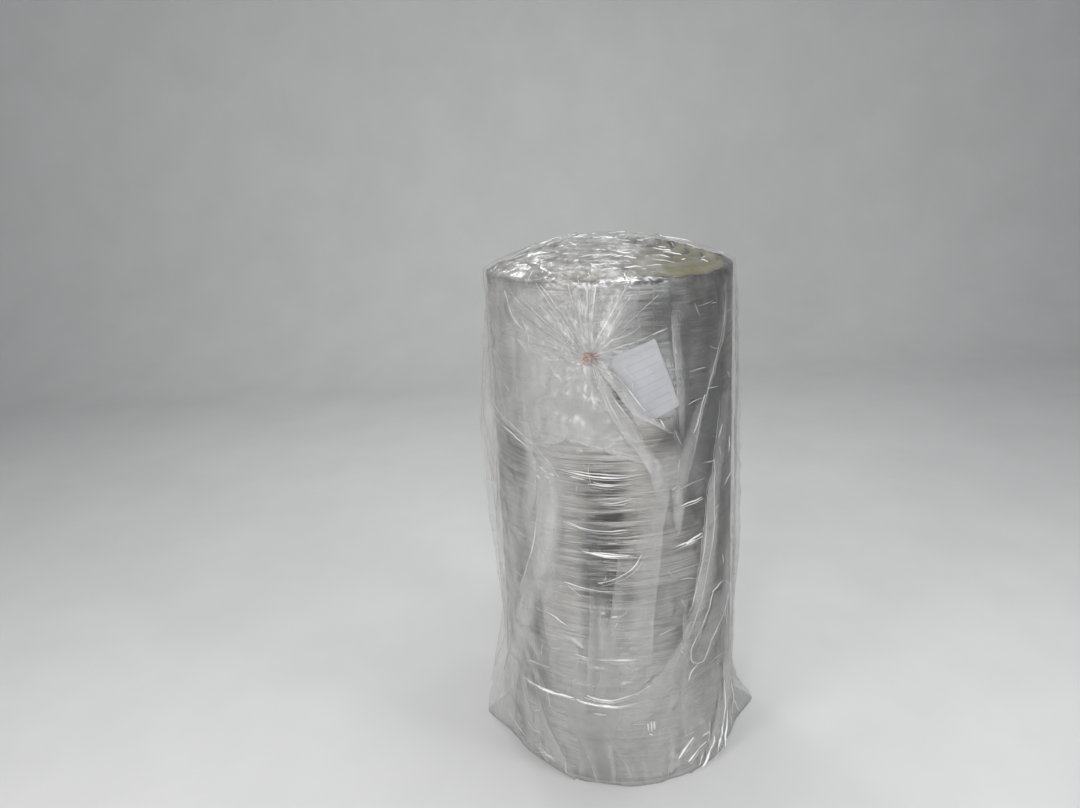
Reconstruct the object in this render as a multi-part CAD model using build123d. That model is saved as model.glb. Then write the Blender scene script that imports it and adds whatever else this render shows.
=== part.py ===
from build123d import *
import os
from math import cos, radians, sin, tan

# A foil-faced glass wool blanket, rolled up and standing on its end in a closed clear film bag.
# Millimetres, +Z up. The origin is on the floor, at the middle of the bag's foot.
# The front, with the tied neck of the bag and the tag, faces -Y.

# Rolled blanket
blanket_width = 1200.0      # height of the standing roll at its rim
roll_diameter = 580.0       # over the facing
turn_pitch = 34.0           # one turn of pressed blanket with its facing
bore_diameter = 24.0        # the eye that the first turn is wound round
crown_rise = 62.0           # how far the middle turns stand proud at the top

# Seam between the turns, as it shows on both ends
seam_width = 4.0
seam_depth = 14.0

# Aluminium facing
facing_thickness = 0.6
facing_clearance = 0.5      # between the facing and the wool

# Film bag
film_thickness = 1.2
film_clearance = 1.2        # between the bag and the roll, all round
seat_clearance = 0.3        # between the bag's floor and the roll
film_lift = 12.0            # the film stands off the middle of the crown
# The bag is a flat tube of film, so it has a creased edge down each side, and a corner on the floor at
# the foot of each crease. A crease is given by how far it stands off the bag's round side.
foot_flare = 16.0           # the film bunches outwards all round the foot
foot_height = 70.0
corner_reach = 74.0
shin_height = 140.0
foot_creases = (57, 30)     # left and right, at the top of the bunched foot
shin_creases = (44, 9)
side_creases = (            # share of the roll's height, left, right
    (0.27, 12, 19),
    (0.38, 24, 31),
    (0.52, 35, 32),
    (0.71, 34, 26),
    (0.85, 20, 22),
)
shoulder_drop = 50.0        # the creases die away this far below the rim of the roll
crease_depth = 62.0         # the flat runs of a crease start this far inside the bag's round side
crease_angle = 50.0         # between a flat run and the crease's middle plane, in degrees
crease_round = 10.0

# Tied neck of the bag
neck_turn = -14.0           # degrees from the front, towards -X
neck_drop = 150.0           # below the rim of the roll
neck_radius = 7.0
neck_length = 5.0
gather_radius = 40.0
gather_length = 11.0
tail_radius = 12.0
tail_length = 8.0
tie_radius = 2.0
tie_clearance = 0.1
tie_sides = 8

# Paper tag
tag_width = 105.0
tag_length = 165.0
tag_corner = 5.0
tag_thickness = 0.4
tag_clearance = 0.3         # between the tag and the facing
tag_turn = 9.5              # degrees from the front, towards +X
tag_drop = 215.0            # its middle, below the rim of the roll
tag_tilt = 20.0             # its top edge rises towards +X

roll_radius = roll_diameter / 2
roll_low = film_thickness + seat_clearance
roll_rim = roll_low + blanket_width
wool_radius = roll_radius - facing_thickness - facing_clearance
facing_middle = roll_radius - facing_thickness / 2


def crowned_cylinder(radius, low, rim, rise):
    """A standing cylinder with a flat foot and a shallow domed top."""
    with BuildPart() as body:
        with BuildSketch(Plane.XZ):
            with BuildLine():
                Polyline((0, rim + rise), (0, low), (radius, low), (radius, rim))
                RadiusArc((radius, rim), (0, rim + rise), -crown_radius(radius, rise))
            make_face()
        revolve(axis=Axis.Z)
    return body.part


def crown_radius(radius, rise):
    """Radius of the dome that rises so far over a cylinder of this radius."""
    return (radius * radius + rise * rise) / (2 * rise)


def dome_ball(depth):
    """The ball whose top is the wool's dome, lowered by the depth."""
    ball = crown_radius(wool_radius, crown_rise)
    return Pos(0, 0, roll_rim + crown_rise - depth - ball) * Sphere(ball)


def spiral_strip(width, low, high):
    """An upright spiral wall of this width, which follows the joint between the turns.

    It is made of half rings about two centres half a pitch apart, so each half turn meets the next
    one smoothly, and the last one runs into the facing's outer turn.
    """
    turns = int((facing_middle - bore_diameter / 2 - seam_width) / turn_pitch)
    first_radius = facing_middle - turns * turn_pitch
    reach = 2 * roll_diameter
    strip = Sketch()
    for half_turn in range(2 * turns):
        radius = first_radius + half_turn * turn_pitch / 2
        centre = (half_turn % 2) * turn_pitch / 2
        side = 1 - 2 * (half_turn % 2)
        ring = Circle(radius + width / 2) - Circle(radius - width / 2)
        half_plane = Pos(0, side * reach / 2) * Rectangle(reach, reach)
        strip += Pos(centre, 0) * (ring & half_plane)
    return extrude(Pos(0, 0, low) * strip, amount=high - low)


def make_wool_roll():
    wool = crowned_cylinder(wool_radius, roll_low, roll_rim, crown_rise)
    wool -= Pos(0, 0, roll_low) * Cylinder(
        bore_diameter / 2, 2 * blanket_width, align=(Align.CENTER, Align.CENTER, Align.CENTER))
    wool -= spiral_strip(seam_width, roll_low, roll_low + seam_depth)
    top_seam = spiral_strip(seam_width, roll_rim - seam_depth, roll_rim + crown_rise)
    return wool - (top_seam - dome_ball(seam_depth))


def make_foil_facing():
    """The outer turn of the facing, bonded to the wool."""
    sleeve = Cylinder(roll_radius, blanket_width, align=(Align.CENTER, Align.CENTER, Align.MIN))
    sleeve -= Cylinder(
        roll_radius - facing_thickness, blanket_width, align=(Align.CENTER, Align.CENTER, Align.MIN))
    return Pos(0, 0, roll_low) * sleeve


def crease_outline(side, radius, reach):
    """A level cut through a crease: two flat runs of film that meet in a rounded tip."""
    half_width = (crease_depth + reach) * tan(radians(crease_angle))
    root = side * (radius - crease_depth)
    with BuildSketch() as outline:
        with BuildLine():
            Polyline((root, -half_width), (side * (radius + reach), 0), (root, half_width), close=True)
        make_face()
        tip = outline.vertices().sort_by(Axis.X)[-1 if side > 0 else 0]
        fillet(tip, radius=crease_round)
    return outline.sketch


def film_crease(side, radius, low):
    """The crease down one side of the bag, from its corner on the floor to the shoulder."""
    hand = 1 if side > 0 else 0
    stations = [(low, corner_reach), (foot_height, foot_creases[hand]), (shin_height, shin_creases[hand])]
    stations += [(levels[0] * roll_rim, levels[1 + hand]) for levels in side_creases]
    stations.append((roll_rim - shoulder_drop, -film_thickness))
    cuts = [Pos(0, 0, height) * crease_outline(side, radius, reach) for height, reach in stations]
    return loft(cuts, ruled=True)


def bag_form(radius, low, rim, rise):
    """The outside of the bag, or its inside, as one full body."""
    body = crowned_cylinder(radius, low, rim, rise)
    body += Pos(0, 0, low) * Cone(
        radius + foot_flare, radius, foot_height - low, align=(Align.CENTER, Align.CENTER, Align.MIN))
    return body + film_crease(-1, radius, low) + film_crease(1, radius, low)


def neck_frame(distance):
    """A plane across the bag's neck, this far from the roll's axis, with its normal outwards."""
    turn = radians(neck_turn)
    outwards = Vector(sin(turn), -cos(turn), 0)
    place = outwards * distance + Vector(0, 0, roll_rim - neck_drop)
    return Plane(origin=place, x_dir=(cos(turn), sin(turn), 0), z_dir=outwards)


def neck_root():
    """Distance from the roll's axis to the outside of the bag."""
    return roll_radius + film_clearance + film_thickness


def make_bag_neck():
    """Film gathered to a narrow neck, which opens again in a short tail."""
    neck_top = gather_length + neck_length
    tail_end = neck_top + tail_length
    with BuildPart() as neck:
        with BuildSketch(Plane.XZ):
            with BuildLine():
                EllipticalCenterArc(
                    (gather_radius, gather_length), gather_radius - neck_radius, 2 * gather_length,
                    start_angle=180, arc_size=90)
                Polyline(
                    (neck_radius, gather_length), (neck_radius, neck_top), (tail_radius, tail_end),
                    (0, tail_end), (0, -gather_length), (gather_radius, -gather_length))
            make_face()
        revolve(axis=Axis.Z)
    return neck_frame(neck_root()).location * neck.part


def make_film_bag():
    inner_radius = roll_radius + film_clearance
    inner_rim = roll_rim + film_clearance
    inner_rise = crown_rise + film_lift
    outside = bag_form(inner_radius + film_thickness, 0, inner_rim + film_thickness, inner_rise)
    inside = bag_form(inner_radius, film_thickness, inner_rim, inner_rise)
    return outside + make_bag_neck() - inside


def make_bag_tie():
    with BuildPart() as ring:
        with BuildSketch(Plane.XZ):
            with Locations((neck_radius + tie_clearance + tie_radius, 0)):
                RegularPolygon(tie_radius, tie_sides)
        revolve(axis=Axis.Z)
    return neck_frame(neck_root() + gather_length + neck_length / 2).location * ring.part


def make_paper_tag():
    turn = radians(tag_turn)
    outwards = Vector(sin(turn), -cos(turn), 0)
    place = Vector(0, 0, roll_rim - tag_drop)
    wall = Plane(origin=place, x_dir=(cos(turn), sin(turn), 0), z_dir=outwards)
    outline = wall * Rot(0, 0, tag_tilt) * RectangleRounded(tag_width, tag_length, tag_corner)
    through = extrude(outline, amount=roll_diameter)
    inner_radius = roll_radius + tag_clearance
    sheet = Cylinder(inner_radius + tag_thickness, 3 * blanket_width) - Cylinder(inner_radius, 3 * blanket_width)
    return sheet & through


os.makedirs("parts", exist_ok=True)
export_step(make_wool_roll(), "parts/wool_roll.step")
export_step(make_foil_facing(), "parts/foil_facing.step")
export_step(make_film_bag(), "parts/film_bag.step")
export_step(make_bag_tie(), "parts/bag_tie.step")
export_step(make_paper_tag(), "parts/paper_tag.step")
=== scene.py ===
# %% [markdown]
# An insulation roll: a foil-faced glass wool blanket, rolled up, standing on its end in a clear film bag.
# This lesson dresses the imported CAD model. The CAD gives the sizes, and the pieces made here give the
# looks: matted fibre, creased foil, crinkled film, a paper tag and the string round the bag's neck.
# All lengths are in metres, +Z is up, and the front, with the knot, faces -Y.

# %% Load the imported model
import math

import bpy
import numpy as np
from mathutils import Matrix, Vector
from mathutils.kdtree import KDTree


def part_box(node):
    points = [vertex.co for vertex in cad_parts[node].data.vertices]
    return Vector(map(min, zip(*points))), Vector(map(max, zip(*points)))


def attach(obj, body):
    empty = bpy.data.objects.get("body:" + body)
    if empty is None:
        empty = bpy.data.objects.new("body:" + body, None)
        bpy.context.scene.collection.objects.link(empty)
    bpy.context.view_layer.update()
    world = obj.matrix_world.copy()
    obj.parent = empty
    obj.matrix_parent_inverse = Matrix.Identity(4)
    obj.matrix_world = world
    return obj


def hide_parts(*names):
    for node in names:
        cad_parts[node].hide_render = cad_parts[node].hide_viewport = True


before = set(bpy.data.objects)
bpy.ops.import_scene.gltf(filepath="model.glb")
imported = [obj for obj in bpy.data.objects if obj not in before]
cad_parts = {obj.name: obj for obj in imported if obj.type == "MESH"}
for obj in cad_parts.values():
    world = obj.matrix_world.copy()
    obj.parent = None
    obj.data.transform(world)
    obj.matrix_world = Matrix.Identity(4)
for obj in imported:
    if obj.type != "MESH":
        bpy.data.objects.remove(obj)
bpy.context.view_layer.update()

print("pieces in the frame:", sorted(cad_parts))

# %% [markdown]
# The roll is a drum, so most of its skin is easiest to plan by the turn round the drum and the height
# up it. The sizes are read from the CAD pieces where a piece shows them, and are repeated from the
# CAD's source where it doesn't.

# %% Sizes of the roll and its bag
facing_low, facing_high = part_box("foil_facing")
ROLL_RADIUS = (facing_high.x - facing_low.x) / 2
ROLL_FOOT = facing_low.z
ROLL_RIM = facing_high.z
CROWN_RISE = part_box("wool_roll")[1].z - ROLL_RIM
BAG_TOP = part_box("film_bag")[1].z
TURN_PITCH = 0.034
EYE_RADIUS = 0.012
FIRST_SEAM = 0.0177    # radius of the innermost joint between turns
print(f"roll radius {ROLL_RADIUS:.3f}, rim at {ROLL_RIM:.3f}, crown rises {CROWN_RISE:.3f}")


# %% [markdown]
# Nothing soft is perfectly even. A smooth random field, worked out from the place of each vertex,
# gives the same rumples at every run. Its size may differ along x, y and z, so that a rumple can be
# long one way and narrow the other.

# %% A smooth random field
MIXING = np.array([12.9898, 78.233, 37.719])    # uneven numbers, which give each grid corner its own value
MIXING_SCALE = 43758.5453


def rumple(points, size, seed):
    """Smooth random values from -1 to 1. A rumple is about as large as size."""
    place = points / np.asarray(size, float) + 19.19 * seed
    cell = np.floor(place)
    part = place - cell
    part = part * part * (3 - 2 * part)
    total = np.zeros(points.shape[:-1])
    for corner in range(8):
        step = np.array([corner & 1, corner >> 1 & 1, corner >> 2 & 1])
        weight = np.prod(np.where(step == 1, part, 1 - part), axis=-1)
        value = np.sin((cell + step) @ MIXING) * MIXING_SCALE
        total += weight * (value - np.floor(value))
    return 2 * total - 1


def ridged(points, size, seed):
    """Sharp crests, at 1, that wind through a field that is 0 elsewhere."""
    return np.clip(1 - 3 * np.abs(rumple(points, size, seed)), 0, 1)


def drum(turn, radius, height):
    """Points on the drum. A turn of 0 is the front, and it grows towards +X."""
    return np.stack([radius * np.sin(turn), -radius * np.cos(turn), height + 0 * turn], axis=-1)


def smooth_step(low, high, value):
    share = np.clip((value - low) / (high - low), 0, 1)
    return share * share * (3 - 2 * share)


# %% [markdown]
# Every large piece is a grid of four-sided faces that closes on itself: round the drum, and then
# either round its own section, like a tyre, or to a point at each end, like a balloon. Built so, a mesh
# has no open edge, and it can be measured, printed or exported as it is.

# %% Grid meshes
def mesh_piece(name, points, faces, materials):
    """A smooth-shaded mesh object, linked into the scene."""
    mesh = bpy.data.meshes.new(name)
    mesh.from_pydata([tuple(p) for p in points], [], faces)
    mesh.validate()
    mesh.shade_smooth()
    for material in materials:
        mesh.materials.append(material)
    piece = bpy.data.objects.new(name, mesh)
    bpy.context.scene.collection.objects.link(piece)
    return piece


def band_faces(here, above, columns):
    """Faces between two rings of points, given by the first point of each."""
    pairs = [(k, (k + 1) % columns) for k in range(columns)]
    return [(here + k, here + beside, above + beside, above + k) for k, beside in pairs]


def tyre_faces(rows, columns):
    """Faces of a grid that closes both ways."""
    faces = []
    for row in range(rows):
        faces += band_faces(row * columns, (row + 1) % rows * columns, columns)
    return faces


def balloon_faces(rows, columns):
    """Faces of a grid that closes round. The two points after its last row are its low and high poles."""
    faces = []
    for row in range(rows - 1):
        faces += band_faces(row * columns, (row + 1) * columns, columns)
    low_pole, last = rows * columns, (rows - 1) * columns
    for column in range(columns):
        beside = (column + 1) % columns
        faces.append((low_pole, beside, column))
        faces.append((low_pole + 1, last + column, last + beside))
    return faces


def sheet_faces(rows, columns):
    """Faces of a thin sheet: a grid for its upper side, one for its lower side, and the border between."""
    count, faces = rows * columns, []
    for row in range(rows - 1):
        for column in range(columns - 1):
            a = row * columns + column
            upper = (a, a + 1, a + 1 + columns, a + columns)
            faces += [upper, tuple(count + corner for corner in upper[::-1])]
    border = list(range(columns - 1)) + [row * columns + columns - 1 for row in range(rows - 1)]
    border += [(rows - 1) * columns + column for column in range(columns - 1, 0, -1)]
    border += [row * columns for row in range(rows - 1, 0, -1)]
    for a, b in zip(border, border[1:] + border[:1]):
        faces.append((b, a, count + a, count + b))
    return faces


def joined(parts):
    """Points and faces of several meshes as one, each given as its points and faces."""
    points, faces, count = [], [], 0
    for part, part_faces in parts:
        points.append(part)
        faces += [tuple(count + corner for corner in face) for face in part_faces]
        count += len(part)
    return np.concatenate(points), faces


def store(piece, name, values):
    """Keeps one number for each vertex, for a material to read."""
    layer = piece.data.attributes.new(name, "FLOAT", "POINT")
    layer.data.foreach_set("value", np.asarray(values, np.float32))


# %% [markdown]
# A material is a small network of nodes. A few helpers keep the networks short: one sets up a surface
# shader, one adds a node and fills its inputs, with numbers or with another node's output, and the rest
# name the steps that come back in most materials.

# %% Material helpers
def new_material(name):
    material = bpy.data.materials.new(name)
    material.use_nodes = True
    tree = material.node_tree
    tree.nodes.clear()
    output = tree.nodes.new("ShaderNodeOutputMaterial")
    surface = tree.nodes.new("ShaderNodeBsdfPrincipled")
    tree.links.new(surface.outputs[0], output.inputs["Surface"])
    return material, tree, surface


def fill(tree, node, **inputs):
    """Fills inputs. Each is given by its name, with _ for a space, or as i0, i1, i2 by its place."""
    for name, value in inputs.items():
        numbered = name[0] == "i" and name[1:].isdigit()
        socket = node.inputs[int(name[1:])] if numbered else node.inputs[name.replace("_", " ")]
        if isinstance(value, bpy.types.NodeSocket):
            tree.links.new(value, socket)
        else:
            socket.default_value = value


def add(tree, kind, settings=None, **inputs):
    """Adds a node with its settings and inputs."""
    made = tree.nodes.new("ShaderNode" + kind)
    for name, value in (settings or {}).items():
        setattr(made, name, value)
    fill(tree, made, **inputs)
    return made


def stored(tree, name):
    """The number that the mesh keeps under this name."""
    return add(tree, "Attribute", {"attribute_name": name}).outputs["Fac"]


def sums(tree, operation, *values, clamp=False):
    """One step of arithmetic on numbers or outputs."""
    inputs = {f"i{place}": value for place, value in enumerate(values)}
    return add(tree, "Math", {"operation": operation, "use_clamp": clamp}, **inputs).outputs[0]


def weighted(tree, first, second):
    """Sum of two outputs, each given with its weight."""
    return sums(tree, "ADD", sums(tree, "MULTIPLY", *first), sums(tree, "MULTIPLY", *second))


def rescaled(tree, value, span, target):
    """A value moved from one span of numbers to another, and held within it."""
    return add(tree, "MapRange", Value=value, i1=span[0], i2=span[1], i3=target[0], i4=target[1]).outputs[0]


def mixed_numbers(tree, share, value, other):
    return add(tree, "Mix", {"data_type": "FLOAT"}, i0=share, i2=value, i3=other).outputs[0]


def mixed_colours(tree, share, colour, other, blend="MIX"):
    """Goes from a colour to another one, or to their product, by a share from 0 to 1."""
    settings = {"data_type": "RGBA", "blend_type": blend}
    return add(tree, "Mix", settings, i0=share, i6=colour, i7=other).outputs[2]


def stretched(tree, x=1, y=1, z=1):
    """The place on the piece, in metres, scaled along each axis."""
    place = add(tree, "TexCoord").outputs["Object"]
    return add(tree, "VectorMath", {"operation": "MULTIPLY"}, i0=place, i1=(x, y, z)).outputs[0]


def ramp(tree, value, stops):
    """Colours along a value. Each stop is (place, colour) with a colour of three shares."""
    made = add(tree, "ValToRGB", Fac=value)
    line = made.color_ramp
    while len(line.elements) < len(stops):
        line.elements.new(0.5)
    for element, (place, colour) in zip(line.elements, stops):
        element.position = place
        element.color = (*colour, 1)
    return made.outputs["Color"]


def cloudy(tree, where, scale, detail=3.0, rough=0.55, warp=0.0):
    """Soft random clouds from 0 to 1."""
    noise = add(tree, "TexNoise", Vector=where, Scale=scale, Detail=detail, Roughness=rough, Distortion=warp)
    return noise.outputs[0]


def relief(tree, height, depth, strength=1.0):
    """A bump node's normal. Depth is in metres for a height from 0 to 1."""
    return add(tree, "Bump", Height=height, Distance=depth, Strength=strength).outputs[0]


# %% [markdown]
# Glass wool is a felt of fine fibre in a yellow binder. At arm's length it shows as a matt, blotchy
# olive yellow with tiny dark gaps, and it is darkest deep in the joints between the turns, where shade
# falls. Two noises give the blotches and the fibre, and a stored number paints that shade into the
# joints and down the eye. The tufts are in the mesh.

# %% Glass wool
def glass_wool_finish():
    material, tree, surface = new_material("glass_wool")
    blotches = cloudy(tree, stretched(tree), 14, 3)
    fibre = cloudy(tree, stretched(tree, z=2.0), 150, 6, 0.72, 0.7)
    mixed = weighted(tree, (blotches, 0.45), (fibre, 0.55))
    # painted shade, deep in the joints between the turns and down the eye
    mixed = sums(tree, "SUBTRACT", mixed, sums(tree, "MULTIPLY", stored(tree, "joint"), 0.30), clamp=True)
    colour = ramp(tree, mixed, [
        (0.16, (0.035, 0.029, 0.009)),
        (0.36, (0.10, 0.088, 0.022)),
        (0.50, (0.125, 0.108, 0.032)),
        (0.64, (0.190, 0.168, 0.056)),
    ])
    fill(tree, surface, Base_Color=colour, Roughness=0.92, Sheen_Weight=0.12,
         Normal=relief(tree, fibre, 0.004, 0.9))
    return material


# %% [markdown]
# The blanket is wound in a flat spiral, so both ends show one joint that runs round and round. The CAD
# cuts it as half rings about two centres, and the same rule gives here how far a point lies between
# two joints. Between them the wool swells, at the joint it dips, and a little wander makes the rings
# uneven, as springy wool is. At the right of the front the two outer turns are pressed into one band.

# %% Joints and dome
def between_joints(x, y, wander):
    """Share of the way from one joint to the next one outwards, 0 to 1."""
    back = np.hypot(x, y) + wander - FIRST_SEAM
    front = np.hypot(x - TURN_PITCH / 2, y) + wander - FIRST_SEAM - TURN_PITCH / 2
    share = np.where(y >= 0, back, front) / TURN_PITCH
    return share - np.floor(share)


def dome_height(radius, rise, reach):
    """Height of the crown over the rim at a distance from the axis."""
    ball = (reach * reach + rise * rise) / (2 * rise)
    return rise - ball + np.sqrt(np.maximum(ball * ball - radius * radius, 0))


def joint_dip(share, width):
    """How near a point is to a joint: 1 in it, and 0 well away. Width is the joint's share of a turn."""
    return np.exp(-(np.minimum(share, 1 - share) / width) ** 2)


print("share between joints at the rim:", round(float(between_joints(0.0, ROLL_RADIUS, 0.0)), 3))


# %% The wool roll
WOOL_RADIUS = ROLL_RADIUS - 0.0022    # the rest is the facing and its clearance
JOINT_DEPTH = 0.010
CALM_RADIUS = 0.06                    # nearer the eye the rings wander less and less
PRESSED_FROM, PRESSED_TO = 0.222, 0.240    # radii between which the outer turns begin to be pressed
PRESSED_AT, PRESSED_SIZE = 44, 36     # degrees round to the right of the front


def top_of_wool(turns, radius):
    """One ring of the crown, and its share of painted shade in the joints and near the eye."""
    flat = drum(turns, radius, 0)
    wander = 0.005 * rumple(flat, 0.09, 1) + 0.003 * rumple(flat, 0.03, 2)
    share = between_joints(flat[:, 0], flat[:, 1], wander * min(1, radius / CALM_RADIUS))
    near = np.exp(-((np.degrees(turns) - PRESSED_AT) / PRESSED_SIZE) ** 4)
    pressed = 0.85 * smooth_step(PRESSED_FROM, PRESSED_TO, radius) * near
    dip = joint_dip(share, 0.13) * (1 - pressed)
    swell = 0.0045 * (np.abs(2 * share - 1) ** 2.2) * (1 - pressed)
    tufts = 0.0022 * rumple(flat, 0.022, 3) + 0.0012 * rumple(flat, 0.008, 4)
    edge = smooth_step(WOOL_RADIUS - 0.012, WOOL_RADIUS, radius)
    height = ROLL_RIM + dome_height(radius, CROWN_RISE, ROLL_RADIUS) - 0.0035 - 0.003 * edge
    flat[:, 2] = height - JOINT_DEPTH * dip - swell + tufts
    flat[:, 2] -= 0.02 * smooth_step(0.02, EYE_RADIUS, radius)
    return flat, np.clip(dip + smooth_step(0.03, EYE_RADIUS, radius), 0, 1)


def foot_of_wool(turns, radius):
    """One ring of the flat foot, given the same way."""
    flat = drum(turns, radius, 0)
    wander = 0.005 * rumple(flat, 0.09, 5) * min(1, radius / CALM_RADIUS)
    dip = joint_dip(between_joints(flat[:, 0], flat[:, 1], wander), 0.12)
    flat[:, 2] = ROLL_FOOT + 0.0005 + JOINT_DEPTH * dip
    return flat, dip


def make_wool(columns=400):
    turns = np.arange(columns) / columns * math.tau
    top_radii = np.linspace(EYE_RADIUS, WOOL_RADIUS - 0.002, 96)
    wall = np.linspace(ROLL_RIM - 0.004, ROLL_FOOT + 0.004, 34)
    eye = np.linspace(ROLL_FOOT + 0.03, ROLL_RIM + CROWN_RISE - 0.04, 8)
    rings = [top_of_wool(turns, radius) for radius in top_radii]
    rings += [(drum(turns, WOOL_RADIUS + 0 * turns, height), 0 * turns) for height in wall]
    rings += [foot_of_wool(turns, radius) for radius in top_radii[::-2]]
    # the eye's wall gets the full painted shade
    rings += [(drum(turns, EYE_RADIUS + 0 * turns, height), 1 + 0 * turns) for height in eye]
    rows, joint = zip(*rings)
    points = np.concatenate(rows)
    faces = [face[::-1] for face in tyre_faces(len(rows), columns)]
    piece = mesh_piece("wool_blanket", points, faces, [glass_wool_finish()])
    # painted shade for the joints and the eye
    store(piece, "joint", np.concatenate(joint))
    return piece


wool = make_wool()
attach(wool, "root")
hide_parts("wool_roll")
print("wool roll:", len(wool.data.polygons), "faces")


# %% [markdown]
# The facing is a thin bonded foil. Bent round a drum it creases along short level lines, and it mirrors
# what stands round it as soft upright bands. The shine comes from a metal surface with a middling
# roughness that varies, and the creases from fine noise that is long round the drum and short up it.
# Its colour holds painted reflections too: upright noise paints the soft bands, the crease noise paints
# light and shade along the creases, and soft patches paint a warm tint. Two shares stored on the mesh
# paint dark reflections: one leaves the creases bright, and the other darkens all.

# %% Foil
def foil_finish():
    material, tree, surface = new_material("bonded_foil")
    level_lines = cloudy(tree, stretched(tree, 5, 5, 105), 1.0, 6, 0.66, 0.8)
    crumple = cloudy(tree, stretched(tree, 1, 1, 1.6), 42, 2, 0.5, 0.6)
    crests = sums(tree, "ABSOLUTE", sums(tree, "SUBTRACT", crumple, 0.5))
    crushed = stored(tree, "crushed")
    scrunch = cloudy(tree, stretched(tree), 48, 2.5, 0.5, 1.2)
    patches = cloudy(tree, stretched(tree, 6, 6, 2.0), 1.0, 2)
    # painted reflections: upright bands of noise stand for what the foil mirrors round it
    upright = cloudy(tree, stretched(tree, 8, 8, 0.6), 1.0, 1)
    # the tone also paints light and shade along the level creases, and near the rim along the crumples
    tone = mixed_numbers(tree, crushed, weighted(tree, (upright, 0.48), (level_lines, 0.52)), scrunch)
    grey = ramp(tree, tone, [
        (0.34, (0.07, 0.07, 0.07)),
        (0.45, (0.26, 0.26, 0.255)),
        (0.55, (0.50, 0.50, 0.50)),
        (0.65, (0.72, 0.72, 0.73)),
    ])
    # painted dark reflections, weighted so that they spare the creases
    creased = rescaled(tree, level_lines, (0.42, 0.56), (1.15, 0.22))
    painted_dark_reflection = sums(tree, "MULTIPLY", stored(tree, "painted_dark_reflection"), creased, clamp=True)
    deep = mixed_colours(tree, painted_dark_reflection, grey, (0.13, 0.13, 0.133, 1), "MULTIPLY")
    # painted dull reflections, which darken even the creases
    painted_dull_reflection = sums(tree, "MULTIPLY", stored(tree, "painted_dull_reflection"), 0.88, clamp=True)
    flat = mixed_colours(tree, painted_dull_reflection, deep, (0.05, 0.05, 0.052, 1))
    # a painted warm tint, from what the foil mirrors, in soft patches
    warmth = rescaled(tree, patches, (0.42, 0.62), (0.0, 0.6))
    warm = mixed_colours(tree, warmth, flat, (1.0, 0.955, 0.86, 1), "MULTIPLY")
    height = sums(tree, "SUBTRACT", level_lines, sums(tree, "MULTIPLY", crests, 0.35))
    height = mixed_numbers(tree, crushed, height, scrunch)
    fill(tree, surface, Base_Color=warm, Metallic=1.0, Normal=relief(tree, height, 0.0045, 0.8),
         Roughness=rescaled(tree, patches, (0.3, 0.7), (0.22, 0.38)))
    return material


foil = foil_finish()


# %% [markdown]
# The facing's outer turn is a sleeve with a real thickness. Its top edge isn't cut true: it stands a
# little proud of the wool in places, and elsewhere it is folded in over it. The sleeve's section is
# followed up the outside, in along the folded edge, back under it and down the inside.

# %% Painted dark reflections on the foil
# painted dark reflections: patches where the foil is painted darker
PAINTED_DARK_REFLECTIONS = [    # where the foil mirrors less light: turn, height, size round, size up, share
    (-6, 0.66, 10, 0.16, 1.00), (-9, 0.44, 8, 0.12, 0.80), (19, 0.42, 7, 0.07, 0.60),
    (-2, 0.97, 4, 0.03, 0.90), (-8, 0.80, 8, 0.035, 0.90), (-42, 0.25, 9, 0.06, 0.60),
    (-78, 0.55, 8, 0.35, 0.45), (-42, 0.86, 10, 0.05, 0.20), (100, 0.70, 14, 0.40, 0.60),
    (150, 0.60, 12, 0.40, 0.55), (-110, 0.75, 14, 0.35, 0.55), (-160, 0.50, 12, 0.40, 0.55),
]
# painted dull reflections: patches that darken even the creases
PAINTED_DULL_REFLECTIONS = [    # where even the creases stay dark, given the same way
    (48, 0.95, 17, 0.26, 1.10), (54, 0.58, 12, 0.22, 1.00), (33, 0.66, 9, 0.10, 0.60),
    (38, 0.30, 14, 0.12, 0.75), (32, 0.90, 10, 0.13, 0.70), (32, 1.11, 17, 0.09, 0.90),
    (44, 1.17, 22, 0.06, 0.80), (8, 1.13, 10, 0.05, 0.60), (-44, 0.25, 8, 0.05, 0.50),
    (25, 0.46, 9, 0.13, 0.45), (19, 0.86, 7, 0.035, 0.85), (40, 0.78, 10, 0.08, 0.70),
    (62, 0.12, 10, 0.10, 0.70), (62, 0.34, 9, 0.12, 0.60),
]


def degrees_round(points):
    """The turn of each point in degrees, from -180 to 180, with 0 at the front."""
    return np.degrees(np.arctan2(points[:, 0], -points[:, 1]))


def wall_patches(points, patches):
    """Sum of soft round patches on the wall, each given as turn, height, size round, size up and share."""
    turn = degrees_round(points)
    total = np.zeros(len(points))
    for at, level, round_size, up_size, share in patches:
        off = (turn - at + 180) % 360 - 180
        total += share * np.exp(-(off / round_size) ** 2 - ((points[:, 2] - level) / up_size) ** 2)
    return total


def painted_reflection_share(points, patches):
    """Share of painted dark reflection at points of the sleeve. The rim is painted darker, except at the
    front.
    """
    total = wall_patches(points, patches) * (1 + 0.35 * rumple(points, (0.05, 0.05, 0.20), 18))
    # the rim is painted darker all round, and left bright at the front as a painted highlight
    bright_rim = smooth_step(ROLL_RIM - 0.03, ROLL_RIM + 0.002, points[:, 2])
    front = 1 - smooth_step(18, 32, np.abs(degrees_round(points) + 8))
    return np.clip(total + 0.5 * bright_rim, 0, 1) * (1 - bright_rim * front)


print(len(PAINTED_DARK_REFLECTIONS), "gloomy places,", len(PAINTED_DULL_REFLECTIONS), "dull ones")


# %% The foil sleeve
FOIL_THICKNESS = 0.0004
BARE_AT, SHORT_AT, LONG_AT = 40, 344, 300    # degrees round where the edge isn't folded in, a little, far
SLEEVE_INSIDE = ROLL_RADIUS - 0.0021


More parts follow.
